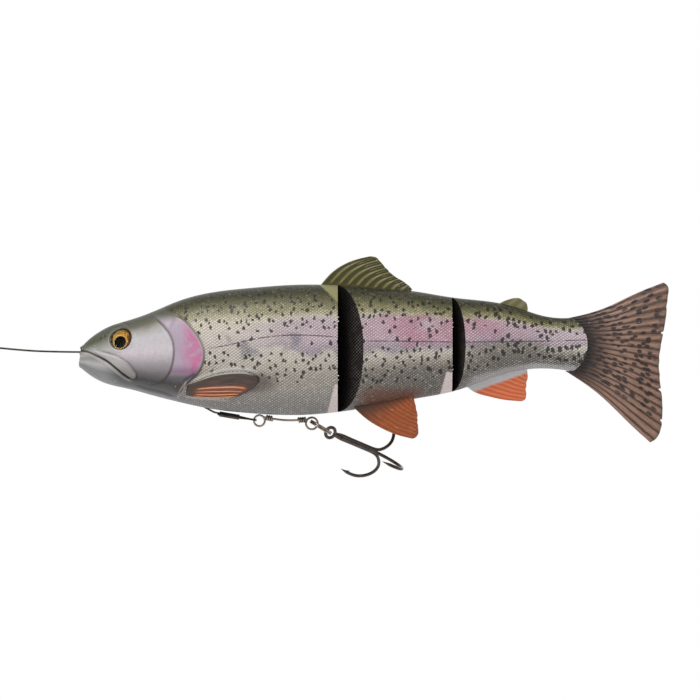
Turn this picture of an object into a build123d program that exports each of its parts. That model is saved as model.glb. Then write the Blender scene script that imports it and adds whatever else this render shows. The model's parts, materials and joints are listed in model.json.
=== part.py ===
"""Line-through trout swimbait: three soft body sections on pinned joints, a swaying tail and a hook rig.

Units are millimetres. +X runs from the nose to the tail, +Z is up and the body is mirrored about Y = 0.
The origin is the mouth port, where the leader leaves the nose.
"""
from build123d import *
from math import atan, cos, degrees, pi, radians, sin, sqrt, tan
import os

# ---------------------------------------------------------------- driving dimensions
# Body stations: distance from the nose, back height, belly height, half width.
STATIONS = [
    (0.0, 1.8, -6.8, 2.6),
    (2.2, 4.2, -8.6, 4.4),
    (6.5, 7.7, -11.5, 6.6),
    (12.0, 10.8, -13.8, 8.5),
    (20.0, 13.4, -15.6, 10.4),
    (30.0, 16.9, -18.3, 12.3),
    (41.0, 21.5, -21.1, 13.6),
    (55.0, 25.2, -24.1, 14.5),
    (72.0, 27.2, -26.0, 14.9),
    (90.0, 28.5, -26.8, 14.8),
    (108.0, 28.4, -25.6, 14.2),
    (125.0, 27.3, -23.0, 13.1),
    (142.0, 25.7, -19.8, 11.7),
    (158.0, 23.1, -16.7, 10.2),
    (172.0, 21.6, -12.0, 8.3),
    (184.0, 19.2, -8.3, 6.5),
    (196.0, 15.4, -7.0, 5.0),
    (206.0, 14.4, -7.8, 4.2),
    (216.0, 15.6, -9.6, 3.9),
]
WIDEST_SHARE = 0.5  # height of the widest point, as a share of a section's height
BACK_POWER = 2.0  # superellipse power of the back, which is narrow
BELLY_POWER = 2.3  # and of the belly, which is fuller
RING_POINTS = 16

# Joints between the sections. The following section's nose is a V with a round tip on the hinge axis.
FRONT_FACE_X = 109.0  # rear face of the head section, grooved for the next section's nose
FRONT_AXIS_X = 110.85
FRONT_NOSE_R = 2.0
FRONT_V_SLOPE = 0.867  # how far the V face runs back for each millimetre outward
REAR_FACE_X = 157.42
REAR_AXIS_X = 159.15
REAR_NOSE_R = 1.8
REAR_V_SLOPE = 0.62
NEST_GAP = 0.2  # between a nose and its groove
PIN_R = 0.8
PIN_RUNNING = 0.06  # radial clearance of a joint eye on its pin
SEAT = 0.02  # radial clearance of a pin in the section that holds it
EYE_OUTER_R = 1.6
EYE_HEIGHT = 1.6
EYE_SHANK_R = 0.65
EYE_SHANK_L = 13.0
EYE_OVERLAP = 0.4  # of the shank into the ring
EYE_COLLAR_L = 1.2  # the collar that keeps the eye from pulling out
EYE_COLLAR_BACK = 1.0  # from the shank's front end
EYE_SLOT_R = 1.75
EYE_SLOT_GAP = 0.2
SLOT_SIDE_GAP = 0.1
SLOT_REACH = 4.0
SLOT_SWING = 31.0  # degrees each way that a slot lets its eye's shank turn
FRONT_EYE_Z = (14.0, -11.0)
REAR_EYE_Z = (11.5, -6.5)
FRONT_PIN_Z = (-16.5, 19.5)
REAR_PIN_Z = (-10.5, 15.5)

# Tail: its tongue sits in a flared pocket in the end of the rear section, on a pin of its own.
END_ARC_CENTRE = (201.3, 3.1)
END_ARC_R = 13.5
TAIL_PIN_X = 206.0
TAIL_PIN_R = 0.6
TAIL_PIN_Z = (-6.0, 12.0)
TONGUE_Z = (-2.6, 8.6)
TONGUE_HALF = 1.0
TONGUE_REAR_X = 217.0  # inside the blade's root
POCKET_HALF = 1.3
POCKET_FLARE = 12.0  # degrees each side
POCKET_Z_GAP = 0.4
TAIL_GAP = 0.6
TAIL_ROOT_HALF = 0.9
TAIL_EDGE_HALF = 0.35
TAIL_TAPER_X = (214.0, 250.0)

# Fins
FIN_HALF = 0.6
DORSAL_HALF = 0.8
PELVIC_ROOT_Y = 4.2
PELVIC_SPLAY = 12.0  # degrees out from the vertical
PECTORAL_LIFT = 1.1

# Eyes
EYE_CENTRE = (17.3, 5.6)
EYE_R = 4.6
EYE_YAW = 20.0  # degrees that an eye looks forward
EYE_PITCH = 15.0  # degrees that it looks up
IRIS_DEPTH = 2.0  # of the iris disc's back, under the skin
IRIS_T = 1.0
DOME_H = 1.4
SOCKET_L = 10.0
SOCKET_Y = 8.6  # where an eye's axis meets the skin

# Line-through leader and its tube
LEADER_R = 0.4
TUBE_R = 1.3
TUBE_BORE_R = 0.7
TUBE_BEND = (9.0, 0.0, 0.0)
BELLY_BEND = (56.6, 0.0, -25.9)
TUBE_BEND_R = 25.0
BELLY_BEND_R = 6.0

# Crimp sleeves: two barrels side by side
CRIMP_BARREL_R = 0.85
CRIMP_PITCH = 1.1
CRIMP_CLEARANCE = 0.03
CRIMP_TILT = 28.0  # degrees that the belly crimp lies over from flat
CRIMP_L = 8.6
BELLY_CRIMP_START = 2.2  # along the leader from its bend at the belly
BELLY_RUN_END = (74.3, 0.0, -28.9)  # inside the wire link's front eye
BELLY_LOOP_HALF = 1.25
BELLY_LOOP_L = 3.2
STRAND_PAST_CRIMP = 0.6  # where the strands start to part
STRAND_TAIL = 0.8  # cut end that shows past a crimp

# Wire link: a bar with a wrapped eye at each end
LINK_WIRE_R = 0.45
LINK_FRONT_EYE = (75.75, -29.15)
LINK_REAR_EYE = (98.0, -30.3)
LINK_FRONT_EYE_R = 2.3
LINK_REAR_EYE_R = 2.5
LINK_LEAVES_AT = 41.3  # degrees above level, where the bar leaves an eye
LINK_SAG = 0.8
LINK_WRAPS = 3
LINK_WRAP_START = 1.4
LINK_WRAP_PITCH = 0.92
LINK_WRAP_R = 0.84

# Split ring: two coils, in a plane that holds the Y axis and slopes down to the rear
RING_SLOPE = 31.0
RING_R = 4.9
RING_WIRE_R = 0.4
RING_COIL_OFFSET = 0.38
RING_FRONT = (97.6, -29.4)  # where its wire passes through the link's rear eye

# Treble hook, in its own frame: along the shank from the front of the eye, and out from the shank's axis
TREBLE_TURN = 34.0  # degrees round the split ring
TREBLE_RISE = 6.0  # degrees up out of the split ring's plane
HOOK_WIRE_R = 0.72
HOOK_EYE_R = 2.3
HOOK_AXIS_GAP = 0.86  # of each wire's centre from the shank's axis
HOOK_EYE_GAP = 0.42  # between the split ring and the inside of the eye
HOOK_PATH = [(9.0, 0.0), (29.6, 0.0), (36.2, 6.0), (36.2, 12.8), (32.4, 15.9), (25.6, 15.8)]
HOOK_BENDS = [7.0, 5.0, 3.4, 2.6]
HOOK_POINT_AT = (22.2, 15.4)
HOOK_ANGLES = (34.0, 154.0)  # of the double hook, round the shank from straight down
SINGLE_ANGLE = -86.0
NECK_R = 1.15  # where the two wires of the double hook meet the eye
NECK_END = 9.6
BRAZE_R = 0.5
BRAZE_L = 20.0
HOOK_TIP_R = 0.05
BARB_H = 0.9
BARB_L = 2.4
BARB_BASE = 0.45  # of the barb's root inside the wire
BARB_HALF = 0.28

# Free leader and what it ends in: the route from the mouth, chosen by hand
LEADER_ROUTE = [(0.0, 0.0, 0.0), (-14.0, 0.0, 0.1), (-27.0, 0.0, 0.9), (-40.5, 0.0, 2.3)]
ARC_SHARE = 0.45
FRONT_CRIMP_L = 7.0
FRONT_LOOP_L = 5.0
FRONT_LOOP_BULGE = 0.9
SWIVEL_EYE_R = 1.7
SWIVEL_WIRE_R = 0.4
SWIVEL_LOOP_GAP = 0.05
SWIVEL_STEM_L = 1.9
SWIVEL_STEM_IN = 0.9  # of the stem inside the barrel
SWIVEL_HEAD_R = 0.75
SWIVEL_HEAD_L = 0.6
BARREL_R = 1.4
BARREL_L = 5.0
BARREL_WALL = 0.4

# Cast-in cores: low corner and high corner
HEAD_FLOAT = ((44.0, -6.0, 6.0), (90.0, 6.0, 20.0))
HEAD_WEIGHT = ((63.0, -5.0, -22.5), (99.0, 5.0, -17.0))
MIDDLE_FLOAT = ((119.5, -4.5, 4.0), (142.0, 4.5, 18.0))
MIDDLE_WEIGHT = ((121.0, -3.5, -16.0), (143.0, 3.5, -11.5))
REAR_FLOAT = ((168.0, -2.6, 4.0), (190.0, 2.6, 11.0))
CORE_ROUND = 1.5

BIG = 400.0
BEFORE_NOSE = -10.0
FLANK_REACH = 40.0  # out past the widest flank


# ---------------------------------------------------------------- helpers
def power_curve(value, power):
    """cos or sin of an angle, reshaped so that the section is a superellipse of that power."""
    return (1 if value >= 0 else -1) * abs(value) ** (2 / power)


def section_face(x, top, bottom, half_width):
    """One cross-section of the body, in the plane at x."""
    low = WIDEST_SHARE * (top - bottom)
    high = (top - bottom) - low
    middle = bottom + low
    points = []
    for i in range(RING_POINTS):
        t = 2 * pi * i / RING_POINTS
        power, reach = (BACK_POWER, high) if sin(t) >= 0 else (BELLY_POWER, low)
        y = half_width * power_curve(cos(t), power)
        points.append((x, y, middle + reach * power_curve(sin(t), power)))
    return Face(Wire(Spline(*points, periodic=True)))


def body_loft(grow=0.0):
    """The whole fish, from nose to tail root, with its skin moved outward by grow."""
    faces = [section_face(x, top + grow, bottom - grow, half + grow) for x, top, bottom, half in STATIONS]
    return loft(faces)


def block(low, high):
    """A box between two corners."""
    size = [h - l for l, h in zip(low, high)]
    centre = [(l + h) / 2 for l, h in zip(low, high)]
    return Pos(*centre) * Box(*size)


def slab(x_from, x_to):
    """Everything between two X positions."""
    return block((x_from, -BIG / 2, -BIG / 2), (x_to, BIG / 2, BIG / 2))


def core(corners):
    """A cast-in float or weight: a box with rounded edges."""
    shape = block(*corners)
    return fillet(shape.edges(), CORE_ROUND)


def upright(radius, x, z_from, z_to, y=0.0):
    """A vertical cylinder."""
    return Pos(x, y, (z_from + z_to) / 2) * Cylinder(radius, z_to - z_from)


def side_plate(points, half, rounds=None):
    """A flat plate in the XZ plane, from an outline of (x, z) points, 2 * half thick."""
    outline = Plane.XZ * make_face(Polyline(*points, close=True))
    plate = extrude(outline, amount=half, both=True)
    if rounds:
        plate = fillet(plate.edges().filter_by(Axis.Y), rounds)
    return plate


def spline_plate(curves, half):
    """A flat plate in the XZ plane from edges already drawn in XY, 2 * half thick."""
    outline = Plane.XZ * make_face(curves)
    return extrude(outline, amount=half, both=True)


def swept(path, radius):
    """A round wire along a path."""
    start = Plane(origin=path @ 0, z_dir=path % 0)
    return sweep(start * Circle(radius), path=path)


def route_path(points):
    """Straight runs joined by tangent arcs, each as large as its two runs allow."""
    radii = []
    for a, b, c in zip(points, points[1:], points[2:]):
        before, after = Vector(*b) - Vector(*a), Vector(*c) - Vector(*b)
        turn = radians(before.get_angle(after))
        radii.append(ARC_SHARE * min(before.length, after.length) / tan(turn / 2))
    return FilletPolyline(*points, radius=radii)


def mirrored(shape):
    return mirror(shape, about=Plane.XZ)


def save(shape, name):
    """Writes one node, as one solid or a group of separate solids."""
    solids = shape.solids()
    whole = solids[0] if len(solids) == 1 else Compound(children=list(solids))
    whole.label = name
    export_step(whole, f"parts/{name}.step")


# ---------------------------------------------------------------- joints
def nose_region(axis_x, nose_r, slope):
    """What the following section may fill: behind a V whose tip is round about the hinge axis."""
    apex = axis_x - nose_r * sqrt(1 + slope**2)
    tangent_x = axis_x - nose_r / sqrt(1 + slope**2)
    tangent_y = (tangent_x - apex) / slope
    back = apex + slope * FLANK_REACH
    points = [(tangent_x, tangent_y), (back, FLANK_REACH), (back + BIG, FLANK_REACH)]
    points += [(x, -y) for x, y in reversed(points)]
    wedge = extrude(make_face(Polyline(*points, close=True)), amount=BIG / 2, both=True)
    return wedge + upright(nose_r, axis_x, -BIG / 2, BIG / 2)


def joint_eye(axis_x, z):
    """A cast-in eye: a flat ring round the pin and a shank that runs forward into its section."""
    ring = upright(EYE_OUTER_R, axis_x, z - EYE_HEIGHT / 2, z + EYE_HEIGHT / 2)
    shank_start = axis_x - EYE_OUTER_R + EYE_OVERLAP
    shank = Pos(shank_start - EYE_SHANK_L / 2, 0, z) * Rot(0, 90, 0) * Cylinder(EYE_SHANK_R, EYE_SHANK_L)
    collar_x = shank_start - EYE_SHANK_L + EYE_COLLAR_BACK
    collar = Pos(collar_x, 0, z) * Rot(0, 90, 0) * Cylinder(2 * EYE_SHANK_R, EYE_COLLAR_L)
    return ring + shank + collar - upright(PIN_R + PIN_RUNNING, axis_x, z - EYE_HEIGHT, z + EYE_HEIGHT)


def eye_slots(axis_x, heights):
    """Room in a section's nose for the joint eyes of the section ahead: a round seat that fans out forward."""
    reach = EYE_HEIGHT / 2 + EYE_SLOT_GAP
    slope = tan(radians(SLOT_SWING))
    narrow = (EYE_SHANK_R + SLOT_SIDE_GAP) / cos(radians(SLOT_SWING))
    wide = narrow + SLOT_REACH * slope
    corners = [(axis_x, -narrow), (axis_x - SLOT_REACH, -wide), (axis_x - SLOT_REACH, wide), (axis_x, narrow)]
    fan = make_face(Polyline(*corners, close=True))
    slots = []
    for z in heights:
        seat = upright(EYE_SLOT_R, axis_x, z - reach, z + reach)
        slots.append(seat + Pos(0, 0, z) * extrude(fan, amount=reach, both=True))
    return Compound(children=slots)


# ---------------------------------------------------------------- fins
def dorsal_fin():
    """Stands on the middle section and reaches forward over the front joint, clear of the head section."""
    front = (101.6, 28.85)
    leading = Spline(front, (105.0, 33.4), (111.0, 37.0), (117.0, 39.6), (123.6, 40.6))
    tip = Spline((123.6, 40.6), (125.6, 40.2), (126.8, 38.6), tangents=[(1, 0.1), (0.7, -1)])
    trailing = Polyline((126.8, 38.6), (133.5, 32.0), (139.6, 28.0), (140.6, 25.4))
    root = Polyline((140.6, 25.4), (138.0, 21.5), (116.5, 22.5), (115.5, 28.4), (109.0, 28.85), front)
    return spline_plate(leading + tip + trailing + root, DORSAL_HALF)


def adipose_fin():
    upper = Spline((177.6, 19.4), (180.5, 21.6), (185.0, 22.6), (188.6, 21.2), (189.6, 17.9))
    root = Polyline((189.6, 17.9), (187.0, 15.8), (180.0, 17.5), (177.6, 19.4))
    return spline_plate(upper + root, FIN_HALF)


def anal_fin():
    points = [(164.9, -14.0), (166.0, -16.6), (173.0, -18.8), (183.3, -20.8), (188.4, -20.5)]
    points += [(189.5, -8.0), (187.0, -5.6), (176.0, -8.0)]
    return side_plate(points, FIN_HALF)


def pelvic_fin():
    """The left fin: drawn upright, then splayed out about its root."""
    root_z = -19.5
    points = [(116.0, -23.8), (124.6, -29.8), (137.4, -36.4), (141.8, -36.6), (142.6, -30.0)]
    points += [(141.4, -19.8), (139.0, -16.0), (121.0, -19.0)]
    plate = side_plate(points, FIN_HALF)
    return Pos(0, -PELVIC_ROOT_Y, root_z) * Rot(-PELVIC_SPLAY, 0, 0) * Pos(0, 0, -root_z) * plate


def pectoral_fin(body, skin):
    """The left fin: a leaf that lies on the flank and follows it."""
    upper = Spline((44.9, -17.6), (46.8, -13.0), (52.8, -9.6), (62.0, -8.3), (72.0, -8.3), (76.0, -10.8))
    lower = Spline((76.0, -10.8), (73.8, -15.4), (64.1, -18.9), (52.5, -19.6), (44.9, -17.6))
    outline = Plane.XZ * make_face(upper + lower)
    prism = extrude(outline, amount=BIG / 4)
    return (skin - body) & prism


def tail_shape():
    """The tail fin: a forked blade, thick at its root and thin at its edge, with a tongue for the pin."""
    front_r = END_ARC_R + TAIL_GAP
    cx, cz = END_ARC_CENTRE
    upper = Spline((209.9, 14.4), (216.0, 15.6), (224.0, 19.0), (236.0, 24.6), (246.0, 29.1))
    tip_top = Spline((246.0, 29.1), (248.4, 28.6), (249.0, 26.0), tangents=[(1, 0.3), (0, -1)])
    trailing_upper = [(249.0, 26.0), (248.6, 17.6), (246.2, 8.8), (245.0, 1.6)]
    trailing = Spline(*trailing_upper, (245.6, -8.0), (246.8, -20.0), (247.2, -29.0), (245.4, -35.6))
    tip_low = Spline((245.4, -35.6), (241.8, -38.1), (238.6, -36.8), tangents=[(-0.5, -1), (-1, 0.9)])
    lower = Spline((238.6, -36.8), (228.2, -27.2), (218.4, -17.4), (210.6, -11.2), (207.4, -9.4))
    root_arc = ThreePointArc((207.4, -9.4), (cx + front_r, cz), (209.9, 14.4))
    blade = spline_plate(upper + tip_top + trailing + tip_low + lower + root_arc, TAIL_ROOT_HALF)
    taper = [(200.0, TAIL_ROOT_HALF), (TAIL_TAPER_X[0], TAIL_ROOT_HALF), (TAIL_TAPER_X[1], TAIL_EDGE_HALF)]
    sides = taper + [(x, -y) for x, y in reversed(taper)]
    blade = blade & extrude(make_face(Polyline(*sides, close=True)), amount=BIG / 4, both=True)
    tongue = block((TAIL_PIN_X, -TONGUE_HALF, TONGUE_Z[0]), (TONGUE_REAR_X, TONGUE_HALF, TONGUE_Z[1]))
    tongue += upright(TONGUE_HALF, TAIL_PIN_X, *TONGUE_Z)
    return blade + tongue - upright(TAIL_PIN_R + PIN_RUNNING, TAIL_PIN_X, *TAIL_PIN_Z)


def tail_pocket():
    """The flared pocket in the end of the rear section."""
    run = END_ARC_R + 6.0
    points = [(TAIL_PIN_X, POCKET_HALF), (TAIL_PIN_X + run, POCKET_HALF + run * tan(radians(POCKET_FLARE)))]
    points += [(x, -y) for x, y in reversed(points)]
    low, high = TONGUE_Z[0] - POCKET_Z_GAP, TONGUE_Z[1] + POCKET_Z_GAP
    flare = Pos(0, 0, low) * extrude(make_face(Polyline(*points, close=True)), amount=high - low)
    return flare + upright(POCKET_HALF, TAIL_PIN_X, low, high)


# ---------------------------------------------------------------- eyes
def eye_frame():
    """Where the left eye sits: Z points out of the head."""
    x, z = EYE_CENTRE
    return Pos(x, -SOCKET_Y, z) * Rot(0, 0, -EYE_YAW) * Rot(90 - EYE_PITCH, 0, 0)


def eye_parts():
    """The left eye's iris disc and clear dome, and the socket that they fill."""
    place = eye_frame()
    iris = Pos(0, 0, -IRIS_DEPTH + IRIS_T / 2) * Cylinder(EYE_R, IRIS_T)
    base = -IRIS_DEPTH + IRIS_T
    height = DOME_H - base
    ball_r = (EYE_R**2 + DOME_H**2) / (2 * DOME_H)
    ball = Pos(0, 0, DOME_H - ball_r) * Sphere(ball_r)
    dome = (Pos(0, 0, base + height / 2) * Cylinder(EYE_R, height)) & ball
    socket = Pos(0, 0, -IRIS_DEPTH + SOCKET_L / 2) * Cylinder(EYE_R, SOCKET_L)
    return place * iris, place * dome, place * socket


# ---------------------------------------------------------------- leader, crimps and swivel
def leader_inner_path():
    """From the mouth, down through the head, out of the belly, round the link's front eye and back into the crimp."""
    run = (Vector(*BELLY_RUN_END) - Vector(*BELLY_BEND)).normalized()
    tilt = radians(CRIMP_TILT)
    offset = (Vector(0, cos(tilt), 0) + Vector(-run.Z, 0, run.X) * sin(tilt)) * (CRIMP_PITCH / 2)
    crimp_start = Vector(*BELLY_BEND) + run * BELLY_CRIMP_START
    crimp_end = crimp_start + run * CRIMP_L
    loop_half = Vector(0, BELLY_LOOP_HALF, 0)
    end = Vector(*BELLY_RUN_END)
    before_eye = end - run * BELLY_LOOP_L
    points = [
        Vector(0, 0, 0),
        Vector(*TUBE_BEND),
        Vector(*BELLY_BEND) + offset,
        crimp_end + offset + run * STRAND_PAST_CRIMP,
        before_eye + loop_half,
        end + loop_half,
        end - loop_half,
        before_eye - loop_half,
        crimp_end - offset + run * STRAND_PAST_CRIMP,
        crimp_start - offset - run * STRAND_TAIL,
    ]
    radii = [TUBE_BEND_R, BELLY_BEND_R, 2.0, 2.0, 1.2, 1.2, 2.0, 2.0]
    return FilletPolyline(*points, radius=radii), crimp_start, crimp_end, offset, run


def double_barrel(start, end, offset):
    """A crimp sleeve: two barrels side by side, with a bore for each strand."""
    axis = (end - start).normalized()
    length = (end - start).length
    barrels, bores = [], []
    for sign in (1, -1):
        centre = start + offset * sign
        plane = Plane(origin=centre, z_dir=axis)
        barrels.append(extrude(plane * Circle(CRIMP_BARREL_R), amount=length))
        bores.append(extrude(plane.offset(-1) * Circle(LEADER_R + CRIMP_CLEARANCE), amount=length + 2))
    return barrels[0] + barrels[1] - bores[0] - bores[1]


def leader_end_frame():
    """The frame at the free leader's end: Z runs on along the leader."""
    last, before = Vector(*LEADER_ROUTE[-1]), Vector(*LEADER_ROUTE[-2])
    return Plane(origin=last, x_dir=(0, 1, 0), z_dir=last - before)


def front_loop():
    """The leader's end loop, drawn along Z: one strand meets the leader, the other ends just out of the sleeve."""
    reach = FRONT_CRIMP_L + FRONT_LOOP_L
    near_side, far_side = -FRONT_LOOP_BULGE, CRIMP_PITCH + FRONT_LOOP_BULGE
    part_z, turn_z = FRONT_CRIMP_L + STRAND_PAST_CRIMP, reach - 1.6
    points = [
        (0, 0, 0),
        (0, 0, part_z),
        (near_side, 0, turn_z),
        (near_side, 0, reach),
        (far_side, 0, reach),
        (far_side, 0, turn_z),
        (CRIMP_PITCH, 0, part_z),
        (CRIMP_PITCH, 0, -STRAND_TAIL),
    ]
    return swept(FilletPolyline(*points, radius=[1.0, 1.0, 1.2, 1.2, 1.0, 1.0]), LEADER_R)


def swivel_parts():
    """The swivel, drawn along Z from the leader's end: rear eye, barrel and front eye."""
    loop_end = FRONT_CRIMP_L + FRONT_LOOP_L
    middle = CRIMP_PITCH / 2
    rear_z = loop_end + SWIVEL_EYE_R - LEADER_R - SWIVEL_WIRE_R - SWIVEL_LOOP_GAP
    barrel_z = rear_z + SWIVEL_EYE_R + SWIVEL_STEM_L - SWIVEL_STEM_IN
    ring = Rot(90, 0, 0) * Torus(SWIVEL_EYE_R, SWIVEL_WIRE_R)
    stem = Pos(0, 0, SWIVEL_EYE_R + SWIVEL_STEM_L / 2) * Cylinder(SWIVEL_WIRE_R, SWIVEL_STEM_L)
    head_z = SWIVEL_EYE_R + SWIVEL_STEM_L + SWIVEL_HEAD_L / 2
    head = Pos(0, 0, head_z) * Cylinder(SWIVEL_HEAD_R, SWIVEL_HEAD_L)
    eye = Rot(0, 0, 90) * (ring + stem + head)
    inner = BARREL_L - 2 * BARREL_WALL
    barrel = fillet(Cylinder(BARREL_R, BARREL_L).edges(), 0.5)
    barrel = barrel - Cylinder(BARREL_R - BARREL_WALL, inner) - Cylinder(SWIVEL_WIRE_R + PIN_RUNNING, BARREL_L + 1)
    barrel_mid = barrel_z + BARREL_L / 2
    rear = Pos(middle, 0, rear_z) * eye
    front = Pos(middle, 0, 2 * barrel_mid - rear_z) * Rot(180, 0, 0) * eye
    return rear, Pos(middle, 0, barrel_mid) * barrel, front


# ---------------------------------------------------------------- wire link, split ring and treble
def flat_ring(centre, radius, wire):
    """A wire ring in the XZ plane."""
    return Pos(centre[0], 0, centre[1]) * Rot(90, 0, 0) * Torus(radius, wire)


def wire_link():
    fx, fz = LINK_FRONT_EYE
    rx, rz = LINK_REAR_EYE
    out, up = cos(radians(LINK_LEAVES_AT)), sin(radians(LINK_LEAVES_AT))
    start = Vector(fx + LINK_FRONT_EYE_R * out, 0, fz + LINK_FRONT_EYE_R * up)
    end = Vector(rx - LINK_REAR_EYE_R * out, 0, rz + LINK_REAR_EYE_R * up)
    middle = (start + end) / 2 - Vector(0, 0, LINK_SAG)
    bar = ThreePointArc(start, middle, end)
    link = flat_ring(LINK_FRONT_EYE, LINK_FRONT_EYE_R, LINK_WIRE_R) + swept(bar, LINK_WIRE_R)
    link += flat_ring(LINK_REAR_EYE, LINK_REAR_EYE_R, LINK_WIRE_R)
    for i in range(LINK_WRAPS):
        along = LINK_WRAP_START + i * LINK_WRAP_PITCH
        for share in (along / bar.length, 1 - along / bar.length):
            plane = Plane(origin=bar @ share, z_dir=bar % share)
            link += plane * Torus(LINK_WRAP_R, LINK_WIRE_R)
    return link


def ring_frame():
    """Split ring's centre, the way it slopes, and its normal."""
    slope = radians(RING_SLOPE)
    along = Vector(cos(slope), 0, -sin(slope))
    normal = Vector(sin(slope), 0, cos(slope))
    return Vector(RING_FRONT[0], 0, RING_FRONT[1]) + along * RING_R, along, normal


def split_ring():
    centre, along, normal = ring_frame()
    rings = []
    for sign in (1, -1):
        plane = Plane(origin=centre + normal * (sign * RING_COIL_OFFSET), x_dir=along, z_dir=normal)
        rings.append(plane * Torus(RING_R, RING_WIRE_R))
    return rings[0] + rings[1]


def treble_frame():
    """The treble's plane: X along the shank from the front of its eye, Y straight down in its eye's plane."""
    centre, along, normal = ring_frame()
    turn, rise = radians(TREBLE_TURN), radians(TREBLE_RISE)
    outward = along * cos(turn) + Vector(0, 1, 0) * sin(turn)
    contact = centre + outward * RING_R
    shank = outward * cos(rise) + normal * sin(rise)
    front = contact - shank * (RING_WIRE_R + 2 * HOOK_WIRE_R + HOOK_EYE_GAP)
    return Plane(origin=front, x_dir=shank, z_dir=normal.cross(outward)), contact


def hook_wire(angle):
    """One hook of the treble, drawn in the XY plane along X, then turned about the shank."""
    points = [(s, HOOK_AXIS_GAP + r, 0) for s, r in HOOK_PATH]
    path = FilletPolyline(*points, radius=HOOK_BENDS)
    wire = swept(path, HOOK_WIRE_R)
    tip_base = Plane(origin=path @ 1, z_dir=path % 1)
    tip = Vector(HOOK_POINT_AT[0], HOOK_AXIS_GAP + HOOK_POINT_AT[1], 0)
    length = (tip - path @ 1).length
    taper = degrees(atan((HOOK_WIRE_R - HOOK_TIP_R) / length))
    wire += extrude(tip_base * Circle(HOOK_WIRE_R), amount=length, taper=taper)
    root = path @ 1
    inside = root.Y - HOOK_WIRE_R
    slope_start = (root.X - BARB_L / 2, inside + BARB_BASE)
    spike = (root.X + BARB_L / 2, inside - BARB_H)
    back = (root.X + BARB_L / 3, inside + BARB_BASE)
    wire += extrude(make_face(Polyline(slope_start, spike, back, close=True)), amount=BARB_HALF, both=True)
    return Rot(angle, 0, 0) * wire


def treble_parts():
    """A double hook with the eye, and the single hook brazed to it."""
    plane, contact = treble_frame()
    eye = Pos(HOOK_WIRE_R + HOOK_EYE_R, 0, 0) * Torus(HOOK_EYE_R, HOOK_WIRE_R)
    eye_rear = HOOK_WIRE_R + 2 * HOOK_EYE_R
    double = eye
    for angle in HOOK_ANGLES:
        double += hook_wire(angle)
    double += Pos((eye_rear + NECK_END) / 2, 0, 0) * Rot(0, 90, 0) * Cylinder(NECK_R, NECK_END - eye_rear)
    double += Pos(NECK_END + BRAZE_L / 2, 0, 0) * Rot(0, 90, 0) * Cylinder(BRAZE_R, BRAZE_L)
    single = hook_wire(SINGLE_ANGLE)
    return plane.location * (double - single), plane.location * single


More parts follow.
